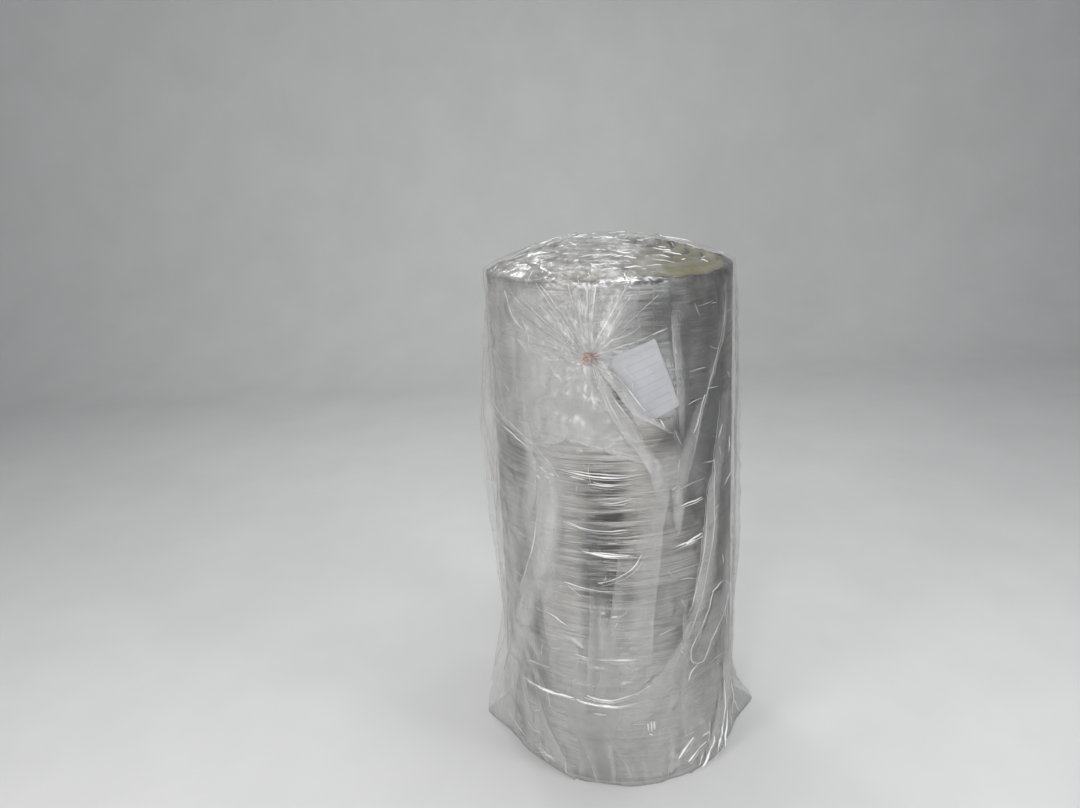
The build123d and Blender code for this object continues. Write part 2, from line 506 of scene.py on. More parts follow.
def rim_fold(turns):
    """Height of the sleeve's uneven rim at each turn, and how far its edge is folded in over the wool."""
    flat, degrees = drum(turns, ROLL_RADIUS, 0), np.degrees(turns)
    rim = ROLL_RIM + 0.0030 * rumple(flat, 0.05, 11) + 0.0015 * rumple(flat, 0.014, 12)
    bare = np.exp(-((degrees - BARE_AT) / 26) ** 4) + 0.8 * np.exp(-((degrees - SHORT_AT) / 8) ** 2)
    far = np.exp(-((degrees - LONG_AT) / 30) ** 4)
    fold = 0.012 + 0.010 * smooth_step(-0.5, 0.4, rumple(flat, 0.10, 13)) + 0.018 * far
    fold = np.minimum(fold + 0.003 * rumple(flat, 0.02, 19), 0.036) * (1 - np.clip(bare, 0, 1))
    return rim, 0.003 + fold


def creased_ring(turns, rim, share):
    """One ring of the sleeve's outside, at a share of its height, with its dents and creases."""
    height = ROLL_FOOT + 0.0002 + share * (rim - ROLL_FOOT - 0.003)
    skin = drum(turns, ROLL_RADIUS, height)
    dents = 0.0009 * ridged(skin, (0.16, 0.16, 0.020), 14) + 0.0006 * ridged(skin, (0.10, 0.10, 0.009), 15)
    dents = dents + 0.0007 * rumple(skin, (0.05, 0.05, 0.16), 16)
    radius = ROLL_RADIUS - 0.0006 - np.clip(dents, -0.0004, 0.0016) * smooth_step(0, 0.02, share)
    return drum(turns, radius, height)


def folded_ring(turns, rim, radius, part):
    """One ring of the folded edge, which lies on the crown. Part is its share of the way in."""
    crest = dome_height(radius, CROWN_RISE, ROLL_RADIUS)
    waves = 0.0030 * rumple(drum(turns, radius, 0), (0.016, 0.016, 1), 17) * part
    return drum(turns, radius, rim + crest + waves)


def make_foil_sleeve(columns=360):
    turns = np.arange(columns) / columns * math.tau
    rim, fold = rim_fold(turns)
    rows = [creased_ring(turns, rim, share) for share in np.linspace(0, 1, 128)]
    for part in np.linspace(0, 1, 7):
        swell = 0.0008 * math.sin(math.pi * part)
        rows.append(folded_ring(turns, rim + swell, ROLL_RADIUS - 0.0012 - part * fold, part))
    for part in np.linspace(1, 0, 5):
        drop, radius = FOIL_THICKNESS + 0.0006 * part, ROLL_RADIUS - 0.0016 - part * (fold - FOIL_THICKNESS)
        rows.append(folded_ring(turns, rim - drop, radius, part))
    for height in np.linspace(ROLL_RIM - 0.006, ROLL_FOOT + 0.0002, 10):
        rows.append(drum(turns, SLEEVE_INSIDE + 0 * turns, height))
    points = np.concatenate(rows)
    piece = mesh_piece("foil_sleeve", points, tyre_faces(len(rows), columns), [foil])
    # painted dark and dull reflections on the sleeve
    store(piece, "painted_dark_reflection", painted_reflection_share(points, PAINTED_DARK_REFLECTIONS))
    store(piece, "painted_dull_reflection", painted_reflection_share(points, PAINTED_DULL_REFLECTIONS))
    store(piece, "crushed", smooth_step(ROLL_RIM - 0.012, ROLL_RIM + 0.001, points[:, 2]))
    return piece


foil_sleeve = make_foil_sleeve()
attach(foil_sleeve, "root")
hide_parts("foil_facing")
print("foil sleeve:", len(foil_sleeve.data.polygons), "faces")


# %% [markdown]
# Inside the roll the same foil lies between the turns, and only its edges show on the ends: a thin
# bright line down in each joint, which in places is bent over the wool in crinkled flaps. One long strip
# follows the joint. At each step its section rises out of the joint, bends over, and lies on the wool
# for as far as the flap reaches there.

# %% Foil edges between the turns
def joint_path(step=0.006):
    """Points along the joint, from the eye outwards, with the direction towards the eye."""
    places, inwards = [], []
    for half in range(2 * int((ROLL_RADIUS - FIRST_SEAM - 0.01) / TURN_PITCH)):
        radius = FIRST_SEAM + half * TURN_PITCH / 2
        centre = np.array([half % 2 * TURN_PITCH / 2, 0.0])
        count = max(6, int(math.pi * radius / step))
        for angle in (np.arange(count) / count) * math.pi + (half % 2) * math.pi:
            out = np.array([math.cos(angle), math.sin(angle)])
            places.append(centre + radius * out)
            inwards.append(-out)
    return np.array(places), np.array(inwards)


FLAP_TOP = 0.0030
FLAP_STATIONS = [    # the flap's section: share of its reach, and height over the joint's mouth
    (0.0, -0.010), (0.0, -0.002), (0.04, 0.0022), (0.35, FLAP_TOP), (0.7, 0.0026), (1.0, 0.0012)]


def make_foil_edges(name, at_top, flaps):
    """A strip along the whole joint. Flaps says where it reaches further or less far over the wool."""
    places, inwards = joint_path()
    count = len(places)
    flat = np.concatenate([places, np.zeros((count, 1))], axis=1)
    radius = np.hypot(places[:, 0], places[:, 1])
    reach = 0.010 + 0.012 * smooth_step(-0.4, 0.5, rumple(flat, 0.06, 21))
    reach = reach + 0.004 * rumple(flat, 0.015, 24)
    if not at_top:
        reach = 0.35 * reach
    for x, y, size, extra in flaps:
        reach = reach + extra * np.exp(-((places[:, 0] - x) ** 2 + (places[:, 1] - y) ** 2) / size ** 2)
    reach = np.clip(reach, 0.0006, 0.031) * smooth_step(0.02, 0.05, radius)
    sunk = 0.0095 * smooth_step(0.006, 0.001, reach)
    wander = 0.0030 * rumple(flat, 0.025, 22)
    section = []
    for side in (1, -1):
        for share, lift in FLAP_STATIONS[::side]:
            along = share * reach + wander
            spot = places + inwards * along[:, None]
            level = np.concatenate([spot, np.zeros((count, 1))], axis=1)
            crinkle = (0.0024 * rumple(level, 0.018, 23) + 0.0018 * rumple(level, 0.008, 25)) * share
            dome = dome_height(np.hypot(spot[:, 0], spot[:, 1]), CROWN_RISE, ROLL_RADIUS)
            if at_top:
                height = ROLL_RIM + dome - FLAP_TOP + lift + crinkle - sunk
                height = height + (FOIL_THICKNESS if side > 0 else 0)
            else:
                height = ROLL_FOOT + 0.0012 + 0.6 * (FLAP_TOP - lift) + (0 if side > 0 else FOIL_THICKNESS)
                height = np.full(count, height)
            spot = spot - inwards * (FOIL_THICKNESS / 2 * side if share == 0 else 0)
            section.append(np.concatenate([spot, height[:, None]], axis=1))
    ring = len(section)
    points = np.stack(section, axis=1).reshape(-1, 3)
    faces = []
    for step in range(count - 1):
        faces += band_faces(step * ring, (step + 1) * ring, ring)
    faces.append(tuple(range(ring))[::-1])
    faces.append(tuple((count - 1) * ring + k for k in range(ring)))
    if at_top:
        faces = [face[::-1] for face in faces]
    piece = mesh_piece(name, points, faces, [foil])
    store(piece, "crushed", np.ones(len(points)))
    # painted dark reflection on the foil's edges, stronger towards +X
    store(piece, "painted_dark_reflection", 0.55 * smooth_step(-0.10, 0.16, points[:, 0]) + 0.15)
    return piece


top_edges = make_foil_edges("foil_edges_top", True, [    # longer or shorter flaps: x, y, size, extra reach
    (-0.02, -0.16, 0.09, 0.024), (0.02, -0.03, 0.10, 0.024), (-0.18, -0.10, 0.08, 0.022),
    (0.13, 0.00, 0.07, 0.018), (-0.12, 0.08, 0.09, 0.018), (0.06, 0.17, 0.09, 0.014),
    (0.17, -0.19, 0.110, -0.080), (0.25, -0.08, 0.11, -0.080), (-0.05, -0.27, 0.035, -0.030),
    (0.06, -0.27, 0.060, -0.050), (-0.22, 0.02, 0.06, -0.020)])
foot_edges = make_foil_edges("foil_edges_foot", False, [])
for piece in (top_edges, foot_edges):
    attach(piece, "root")
    print(piece.name, len(piece.data.polygons), "faces")


# %% [markdown]
# The film bag is the piece that the photo shows most of. It is a flat tube of film, pulled over the
# roll, so it has a creased edge down each side. It is drawn up and tied in a neck at the front, so folds
# fan out from there, and long folds run down where the slack gathers. First come the bag's own sizes,
# which match the CAD's bag, and the rule for how far its skin stands from the axis at each turn.

# %% Round form of the bag
FILM_GAP = 0.0018     # between the bag's skin and the CAD's facing, along the wall and over the crown
FILM_RADIUS = ROLL_RADIUS + FILM_GAP
FILM_SKIN = 0.00035
FOOT_FLARE, FOOT_HEIGHT = 0.016, 0.070
CREASE_HEIGHTS = [0.0, FOOT_HEIGHT, 0.14] + [
    share * ROLL_RIM for share in (0.27, 0.38, 0.52, 0.71, 0.85, 0.958)]
LEFT_CREASE = np.array([74, 57, 44, 12, 24, 35, 34, 20, -2]) / 1000    # how far it stands off there
RIGHT_CREASE = np.array([74, 30, 9, 19, 31, 32, 26, 22, -2]) / 1000
CREASE_ANGLE = math.radians(50)
SOFT_JOIN = 0.004     # how softly the round wall runs into the flat sides of a crease
KNOT_DEGREES, KNOT_HEIGHT = -14, ROLL_RIM - 0.150
KNOT_TURN = math.radians(KNOT_DEGREES)


def bag_radius(turn, height):
    """Distance of the bag's skin from the axis, before its folds."""
    ring = drum(turn, 1.0, 0 * turn)
    uneven = rumple(ring, (0.35, 0.35, 1), 37) + 0.6 * rumple(ring, (0.12, 0.12, 1), 38)
    flare = FOOT_FLARE * np.clip(0.55 + 0.55 * uneven, 0.0, 1.25)
    radius = FILM_RADIUS + flare * np.clip(1 - height / FOOT_HEIGHT, 0, 1) ** 1.3
    for side, reaches in ((-1, LEFT_CREASE), (1, RIGHT_CREASE)):
        tip = FILM_RADIUS + np.interp(height, CREASE_HEIGHTS, reaches)
        off = np.abs(np.angle(np.exp(1j * (turn - side * math.pi / 2))))
        off = np.sqrt(off * off + 0.0006)    # rounds the tip of the crease
        near = np.minimum(off, 1.2)
        wall = tip / (np.cos(near) + np.sin(near) / math.tan(CREASE_ANGLE))
        wall = np.where(off < 1.1, wall, 0)
        radius = SOFT_JOIN * np.log(np.exp(radius / SOFT_JOIN) + np.exp(wall / SOFT_JOIN))
    return radius


print(f"bag radius at the front {bag_radius(np.array([0.0]), np.array([0.6]))[0]:.4f}")


# %% [markdown]
# Each fold is a line of points, read from the photo as the turn in degrees and the height in metres. A
# fold is given its width, how far it stands out, and how milky it looks, since two or three layers of
# film scatter more light than one. Above the rim a height goes on over the crown.

# %% Folds on the bag's wall
FOLDS = {    # name: (points, width, lift, milkiness)
    "fan far left": ([(-14, 1.05), (-26, 1.11), (-36, 1.16), (-50, 1.19)], 0.016, 0.0035, 0.55),
    "fan left": ([(-14, 1.05), (-20, 1.12), (-25, 1.16), (-31, 1.20)], 0.013, 0.0040, 0.60),
    "fan near left": ([(-14, 1.06), (-15, 1.12), (-18, 1.16), (-21, 1.20)], 0.010, 0.0035, 0.55),
    "fan middle": ([(-12, 1.06), (-12, 1.12), (-11, 1.16), (-10, 1.20)], 0.010, 0.0050, 0.85),
    "fan right": ([(-13, 1.06), (-6, 1.12), (-2, 1.16), (0, 1.20)], 0.011, 0.0035, 0.55),
    "fan far right": ([(-13, 1.06), (-4, 1.11), (3, 1.16), (9, 1.20)], 0.013, 0.0035, 0.50),
    "bright ridge": ([(-10, 1.06), (-6, 1.08), (0, 1.09), (6, 1.11)], 0.008, 0.0030, 0.75),
    "short ridge": ([(-9, 1.07), (-6, 1.10), (-2, 1.13), (2, 1.16)], 0.007, 0.0030, 0.70),
    "fan low left": ([(-15, 1.05), (-28, 1.04), (-42, 1.07), (-55, 1.17)], 0.016, 0.0030, 0.45),
    "left roll": ([(-80, 0.90), (-66, 0.88), (-49, 0.86), (-35, 0.81), (-29, 0.77)], 0.016, 0.0060, 0.55),
    "left roll low": ([(-79, 0.86), (-54, 0.85), (-41, 0.83)], 0.012, 0.0040, 0.45),
    "milky edge": ([(-33, 0.88), (-22, 0.87), (-11, 0.85), (4, 0.83)], 0.010, 0.0030, 0.60),
    "long fold down": ([(-13, 1.04), (-11, 1.01), (-5, 0.94), (3, 0.87), (10, 0.81), (13, 0.78)],
                       0.020, 0.0050, 0.55),
    "tag corner fold": ([(-12, 1.05), (-8, 1.03), (-1, 0.98), (3, 0.95), (11, 0.92)], 0.017, 0.0045, 0.60),
    "below the knot": ([(-14, 1.04), (-16, 0.97), (-20, 0.90), (-24, 0.84)], 0.015, 0.0035, 0.50),
    "left of the knot": ([(-15, 1.04), (-24, 0.98), (-34, 0.93), (-50, 0.88)], 0.018, 0.0035, 0.45),
    "right of the tag": ([(21, 1.14), (22, 1.12), (24, 1.04), (26, 0.95), (24, 0.84)], 0.009, 0.0030, 0.28),
    "right long fold": ([(52, 1.19), (49, 1.07), (43, 1.00), (31, 0.90), (25, 0.75), (24, 0.68)],
                        0.014, 0.0055, 0.50),
    "sweep": ([(43, 0.78), (43, 0.61), (33, 0.43), (19, 0.31), (5, 0.24), (-8, 0.21)], 0.020, 0.0055, 0.35),
    "pocket top": ([(44, 0.45), (47, 0.47), (52, 0.46), (61, 0.42), (58, 0.39)], 0.010, 0.0060, 0.60),
    "pocket side": ([(58, 0.40), (47, 0.36), (36, 0.29), (30, 0.30), (29, 0.33), (33, 0.35)],
                    0.010, 0.0060, 0.60),
    "middle band": ([(12, 0.78), (10, 0.66), (8, 0.54), (5, 0.43), (1, 0.30)], 0.034, 0.0030, 0.20),
    "left band": ([(-33, 0.80), (-34, 0.64), (-46, 0.47), (-58, 0.34), (-72, 0.16)], 0.018, 0.0055, 0.50),
    "left inner band": ([(-29, 0.62), (-42, 0.43), (-54, 0.28), (-66, 0.10)], 0.011, 0.0045, 0.45),
    "tent": ([(-54, 0.44), (-66, 0.28), (-80, 0.10)], 0.016, 0.0070, 0.50),
    "right edge band": ([(66, 1.16), (68, 0.95), (70, 0.75), (72, 0.48)], 0.020, 0.0050, 0.50),
    "foot ridge right": ([(62, 0.24), (58, 0.18), (60, 0.09), (66, 0.02)], 0.013, 0.0080, 0.60),
    "foot ridge front": ([(51, 0.18), (49, 0.08), (38, 0.01)], 0.013, 0.0070, 0.60),
    "foot ridge low": ([(20, 0.05), (32, 0.07), (44, 0.05)], 0.010, 0.0050, 0.50),
    "foot line": ([(-84, 0.05), (-67, 0.03), (-52, 0.02), (-30, 0.02)], 0.013, 0.0080, 0.60),
    "foot left": ([(-44, 0.14), (-52, 0.07), (-60, 0.01)], 0.012, 0.0070, 0.50),
    "foot middle": ([(-12, 0.12), (-8, 0.05), (-10, 0.00)], 0.011, 0.0060, 0.45),
    "back left fall": ([(-104, 1.14), (-112, 0.90), (-118, 0.62), (-112, 0.36)], 0.018, 0.0060, 0.45),
    "back middle fall": ([(-150, 1.17), (-158, 0.95), (-154, 0.70), (-165, 0.42), (-160, 0.12)],
                         0.020, 0.0060, 0.50),
    "back right fall": ([(150, 1.18), (141, 0.92), (146, 0.66), (138, 0.38), (148, 0.08)],
                        0.018, 0.0060, 0.45),
    "right fall": ([(108, 1.15), (116, 0.88), (110, 0.60), (118, 0.32), (112, 0.06)], 0.018, 0.0060, 0.50),
    "back cross": ([(176, 1.02), (160, 0.88), (140, 0.79), (118, 0.74)], 0.015, 0.0045, 0.45),
    "back low cross": ([(-178, 0.50), (-158, 0.40), (-138, 0.36), (-116, 0.26)], 0.015, 0.0050, 0.45),
    "back foot": ([(-140, 0.03), (-162, 0.05), (178, 0.03), (156, 0.05)], 0.013, 0.0070, 0.55),
    "back foot left": ([(-128, 0.16), (-134, 0.07), (-128, 0.01)], 0.012, 0.0070, 0.50),
    "back foot right": ([(170, 0.15), (166, 0.07), (172, 0.01)], 0.012, 0.0070, 0.50),
}
FILM_CROWN_RISE = CROWN_RISE + 0.0065


def on_crown(x, y):
    """A point on the round crown of the bag."""
    radius = np.minimum(np.hypot(x, y), FILM_RADIUS)
    return np.stack([x, y, ROLL_RIM + FILM_GAP + dome_height(radius, FILM_CROWN_RISE, FILM_RADIUS)], axis=-1)


def turns_and_heights(points):
    """Splits a line's points, given as degrees and metres, into its turns and its heights."""
    return np.radians([p[0] for p in points]), np.array([p[1] for p in points])


def fold_points(points):
    """The line of a wall fold in space, drawn on the plain drum."""
    turn, height = turns_and_heights(points)
    return drum(np.unwrap(turn), FILM_RADIUS, height)


def near_line(points, line):
    """Distance of each point to a line of points, and its share of the way along it."""
    best = np.full(len(points), 9.0)
    share = np.zeros(len(points))
    lengths = np.linalg.norm(np.diff(line, axis=0), axis=1)
    start = np.concatenate([[0], np.cumsum(lengths)])
    for k in range(len(line) - 1):
        a, run = line[k], line[k + 1] - line[k]
        part = np.clip((points - a) @ run / (run @ run), 0, 1)
        away = np.linalg.norm(points - a - part[:, None] * run, axis=1)
        closer = away < best
        best = np.where(closer, away, best)
        share = np.where(closer, (start[k] + part * lengths[k]) / start[-1], share)
    return best, share


# %% [markdown]
# Straight pieces between the points of a fold would look stiff, so each line is rounded: corner cutting
# replaces every corner with two points nearer its neighbours, twice over. The folds of the crown are
# given on plan, since turn and height say little there. They run over the top towards the neck.

# %% Rounded fold lines
def rounded_line(line, rounds=2):
    for _ in range(rounds):
        ahead = line[:-1] * 0.75 + line[1:] * 0.25
        behind = line[:-1] * 0.25 + line[1:] * 0.75
        middle = np.stack([ahead, behind], axis=1).reshape(-1, line.shape[1])
        line = np.concatenate([line[:1], middle, line[-1:]])
    return line


CROWN_FOLDS = [    # points on plan (x, y), width, lift, milkiness
    ([(-0.055, -0.285), (-0.040, -0.20), (0.02, -0.10), (0.05, 0.04), (0.03, 0.17)], 0.018, 0.006, 0.55),
    ([(-0.075, -0.280), (-0.09, -0.18), (-0.10, -0.05), (-0.06, 0.10), (-0.07, 0.22)], 0.017, 0.006, 0.50),
    ([(-0.110, -0.268), (-0.16, -0.15), (-0.19, -0.02), (-0.16, 0.12)], 0.016, 0.005, 0.50),
    ([(-0.150, -0.248), (-0.23, -0.11), (-0.26, 0.02)], 0.014, 0.004, 0.50),
    ([(-0.030, -0.288), (0.03, -0.19), (0.10, -0.08), (0.13, 0.05), (0.12, 0.18)], 0.016, 0.005, 0.50),
    ([(0.000, -0.290), (0.08, -0.20), (0.17, -0.10), (0.20, 0.03)], 0.014, 0.004, 0.40),
    ([(0.045, -0.286), (0.13, -0.22), (0.22, -0.13), (0.26, -0.02)], 0.013, 0.004, 0.40),
    ([(-0.06, -0.13), (0.00, -0.16), (0.07, -0.13), (0.10, -0.06)], 0.014, 0.005, 0.60),
    ([(-0.09, -0.06), (-0.02, -0.09), (0.06, -0.06), (0.11, 0.01)], 0.014, 0.005, 0.60),
    ([(-0.03, -0.24), (0.00, -0.17), (-0.02, -0.06), (0.01, 0.02)], 0.012, 0.005, 0.55),
    ([(-0.24, 0.10), (-0.12, 0.05), (0.00, 0.08), (0.12, 0.12)], 0.016, 0.005, 0.40),
    ([(-0.18, 0.20), (-0.06, 0.16), (0.08, 0.20), (0.20, 0.17)], 0.016, 0.005, 0.40),
    ([(0.04, -0.02), (0.12, 0.02), (0.18, 0.10), (0.20, 0.19)], 0.015, 0.004, 0.40),
]
fold_lines = [(rounded_line(fold_points(points)), width, lift, milk)
              for points, width, lift, milk in FOLDS.values()]
for points, width, lift, milk in CROWN_FOLDS:
    plan = rounded_line(np.array(points))
    fold_lines.append((on_crown(plan[:, 0], plan[:, 1]), width, lift, milk))
bunching = np.random.default_rng(47)
FOOT_FOLDS = 44
for k in range(FOOT_FOLDS):
    turn, top = 360 * (k + bunching.uniform(-0.4, 0.4)) / FOOT_FOLDS, bunching.uniform(0.05, 0.15)
    lean = bunching.normal(0, 6)
    line = rounded_line(fold_points([(turn + lean, top), (turn + 0.4 * lean, top * 0.5), (turn, -0.01)]))
    fold_lines.append((line, bunching.uniform(0.008, 0.016), bunching.uniform(0.002, 0.007), 0.9))
print(len(fold_lines), "folds")


# %% [markdown]
# The skin is worked out in one function, which gives the place of any point of the bag and how milky
# it is there. Slow waves let the film stand off the roll, every fold lifts it in a soft tent, and small
# sharp crests crinkle it. Nothing may sink below the film's plain radius, or it would cut the foil.
# Milky sheets stand for film that lies double, and clear places for film that lies flat on the foil.

# %% Milky and clear places
MILKY_SHEETS = [    # turn, height, size round, size up, milkiness
    (-45, 1.05, 32, 0.13, 0.30), (-58, 1.175, 26, 0.035, 0.35), (-14, 1.12, 18, 0.06, 0.30),
    (-16, 0.95, 16, 0.08, 0.25), (12, 0.92, 10, 0.03, 0.10), (24, 0.79, 12, 0.05, 0.18),
    (-38, 0.66, 16, 0.12, 0.34), (-22, 0.40, 26, 0.10, 0.30), (0, 0.20, 55, 0.13, 0.30),
    (22, 0.46, 12, 0.10, 0.14), (-66, 0.40, 14, 0.30, 0.25), (74, 0.75, 7, 0.45, 0.20),
    (62, 0.26, 14, 0.14, 0.20), (0, 0.04, 70, 0.05, 0.20), (170, 0.85, 30, 0.28, 0.28),
    (-130, 0.50, 28, 0.28, 0.26), (120, 0.40, 28, 0.28, 0.26), (150, 0.06, 60, 0.08, 0.25),
    (-140, 1.08, 25, 0.10, 0.22),
]
CLEAR_PLACES = [    # where the film lies flat and clear: turn, height, size round, size up, share
    (49, 0.96, 13, 0.20, 0.90), (43, 0.80, 9, 0.09, 0.50), (56, 0.66, 8, 0.20, 0.60),
    (32, 0.92, 7, 0.12, 0.50), (30, 1.12, 12, 0.06, 0.60), (-6, 0.66, 10, 0.14, 0.55),
    (-2, 0.97, 4, 0.04, 0.80), (38, 0.30, 12, 0.10, 0.60), (-42, 0.25, 9, 0.05, 0.50),
    (62, 0.34, 9, 0.14, 0.50), (12, 1.14, 10, 0.04, 0.50), (10, 0.99, 10, 0.06, 0.80),
]
MOST_CLEARED = 0.90    # even the clearest film keeps the rest of its milkiness
CROWN_EDGE = (ROLL_RIM + 0.0025, ROLL_RIM + 0.0145)    # heights between which the wall's milk gives way


def clearness(points):
    """Share of the milkiness that is left at points on the bag."""
    return 1 - np.clip(wall_patches(points, CLEAR_PLACES), 0, MOST_CLEARED)


print(len(MILKY_SHEETS), "milky sheets,", len(CLEAR_PLACES), "clear places")


# %% The bag's skin
def bag_skin(base, outwards, grip):
    """Moves base points along outwards by the waves and folds. Grip is 0 where the film is held still."""
    waves = 0.0022 * (1 + rumple(base, (0.10, 0.10, 0.45), 31))
    waves = waves + 0.0010 * (1 + rumple(base, (0.04, 0.04, 0.12), 32))
    crest = 0.0030 * ridged(base, (0.08, 0.08, 0.06), 33) + 0.0016 * ridged(base, (0.035, 0.035, 0.030), 34)
    lift = (waves + crest) * grip
    milk = 0.07 * ridged(base, (0.07, 0.07, 0.05), 33) + 0.05 * ridged(base, (0.03, 0.03, 0.024), 34)
    for line, width, height, cloud in fold_lines:
        away, share = near_line(base, line)
        fade = smooth_step(0, 0.10, share) * smooth_step(1, 0.82, share)
        tent = np.clip(1 - away / width, 0, 1)
        lift = lift + height * tent ** 1.4 * (0.35 + 0.65 * fade) * grip
        milk = milk + 0.22 * cloud * smooth_step(0, 0.9, tent) * fade
    over_crown = smooth_step(*CROWN_EDGE, base[:, 2])
    milk = milk + wall_patches(base, MILKY_SHEETS) * (1 - over_crown)
    milk = milk + over_crown * (0.27 - 0.25 * smooth_step(0.0, 0.15, base[:, 0]))
    streaks = rumple(base, (0.035, 0.035, 0.30), 35) + 0.7 * rumple(base, (0.016, 0.016, 0.10), 36)
    milk = milk * (1 + 0.45 * streaks) + 0.05 * np.clip(streaks, 0, 2)
    return base + outwards * lift[:, None], np.clip(milk * clearness(base), 0, 1)


def grid_normals(points):
    """Outward directions of a grid of points, rows by columns, that closes round."""
    round_run = np.roll(points, -1, axis=1) - np.roll(points, 1, axis=1)
    up_run = np.gradient(points, axis=0)
    normal = np.cross(round_run, up_run)
    return normal / np.maximum(np.linalg.norm(normal, axis=2, keepdims=True), 1e-9)


def column_turns(columns):
    """Turns of the columns, closer together at the front, where the neck and the tag are."""
    fine = np.linspace(-math.pi, math.pi, 4001)
    crowd = 1 + 1.5 * np.exp(-((fine + 0.12) / 1.35) ** 2)
    total = np.concatenate([[0], np.cumsum((crowd[1:] + crowd[:-1]) / 2)])
    return np.interp(np.arange(columns) / columns, total / total[-1], fine)


def make_bag_points(columns=288):
    turns = column_turns(columns)
    base, outwards, grip = [], [], []
    radial = drum(turns, 1.0, 0)
    down, up = np.array([0, 0, -1.0]), np.array([0, 0, 1.0])
    edge = bag_radius(turns, 0 * turns)
    for share in (0.12, 0.35, 0.6, 0.8, 0.93):
        base.append(drum(turns, edge * share, 0.0))
        outwards.append(radial * 0 + down)
        grip.append(0)
    heights = np.concatenate([np.linspace(0.0, 0.08, 11), np.linspace(0.09, ROLL_RIM - 0.012, 106)])
    for height in heights:
        base.append(drum(turns, bag_radius(turns, height + 0 * turns), height))
        outwards.append(radial)
        grip.append(min(1, 0.35 + height / 0.02))
    for share in np.concatenate([[-0.02, -0.008], np.linspace(0.0, 0.985, 36)]):
        radius = FILM_RADIUS * (1 - max(share, 0))
        plan = drum(turns, radius, 0)
        skin = on_crown(plan[:, 0], plan[:, 1])
        lean = smooth_step(-0.03, 0.08, share)
        if share < 0.02:    # the shoulder, where the wall turns in to the crown
            skin[:, 2] = ROLL_RIM + FILM_GAP + share * 0.30 + 0.001
        base.append(skin)
        direction = radial * (1 - lean) + up * lean
        outwards.append(direction / np.linalg.norm(direction, axis=1, keepdims=True))
        grip.append(1 - 0.40 * smooth_step(0.0, 0.3, share))
    rows = len(base)
    held = np.repeat(np.array(grip, float), columns)
    moved, milk = bag_skin(np.concatenate(base), np.concatenate(outwards), held)
    return moved.reshape(rows, columns, 3), milk.reshape(rows, columns)


bag_outside, bag_milk = make_bag_points()
bag_outside[:, :, 2] = np.clip(bag_outside[:, :, 2], 0, BAG_TOP + 0.012)
bag_inside = bag_outside - FILM_SKIN * grid_normals(bag_outside)
print("bag grid", bag_outside.shape[:2], "top", round(float(bag_outside[:, :, 2].max()), 4))


# %% [markdown]
# Thin polythene is clear where it lies flat, and milky where it is folded, crinkled or seen along its
# surface. Where it is pinched, a stored share paints it white: a painted glint, for the light that a
# sharp crest catches. One surface shader does it: the stored milkiness and the slant of the view set how
# much the film hides, and sharp relief gives real glints, which are softer where the film is milky.
# At the knot the film is tinged by the string, which shows through it, as a stored blush.
# The network is kept small, because light crosses many layers of film and asks for it at each one.

# %% Film
def film_finish():
    material, tree, surface = new_material("clear_film")
    milk, painted_glint = stored(tree, "milk"), stored(tree, "painted_glint")
    slant = add(tree, "LayerWeight", Blend=0.35).outputs["Facing"]
    alpha = sums(tree, "ADD", sums(tree, "MULTIPLY", milk, 0.66), 0.03)
    # painted glint: a pinched line is made nearly opaque here, and painted white below
    alpha = sums(tree, "ADD", alpha, sums(tree, "MULTIPLY", painted_glint, 0.6))
    alpha = sums(tree, "ADD", alpha, sums(tree, "MULTIPLY", slant, 0.09), clamp=True)
    tint = mixed_colours(tree, painted_glint, (0.60, 0.60, 0.592, 1), (0.97, 0.97, 0.97, 1))
    blushed = mixed_colours(tree, stored(tree, "blush"), tint, (0.62, 0.40, 0.35, 1))
    scattering = sums(tree, "SUBTRACT", milk, painted_glint, clamp=True)
    rough = sums(tree, "ADD", sums(tree, "MULTIPLY", scattering, 0.26), 0.12)
    crinkle = add(tree, "TexNoise", {"noise_type": "RIDGED_MULTIFRACTAL"}, Vector=stretched(tree, z=1.2),
                  Scale=11.0, Detail=2.6, Roughness=0.5, Lacunarity=2.1, Offset=0.9, Gain=1.6,
                  Distortion=0.5).outputs[0]
    fill(tree, surface, Base_Color=blushed, Alpha=alpha, Roughness=rough, IOR=1.5,
         Specular_IOR_Level=1.0, Normal=relief(tree, crinkle, 0.007, 0.7))
    return material


film = film_finish()


# %% [markdown]
# Where film is pinched it takes a sharp set that a grid of this size can't hold: a bright line a
# few millimetres wide, whose brightness is a painted glint. Each is a low three-sided bar that tapers at
# both ends and sits on the skin, or a little above it where pleats cover the skin. Those that the photo
# shows on the front are listed: fine lines, broad arcs, ridges at the foot and short flakes. Random ones
# crinkle the rest.

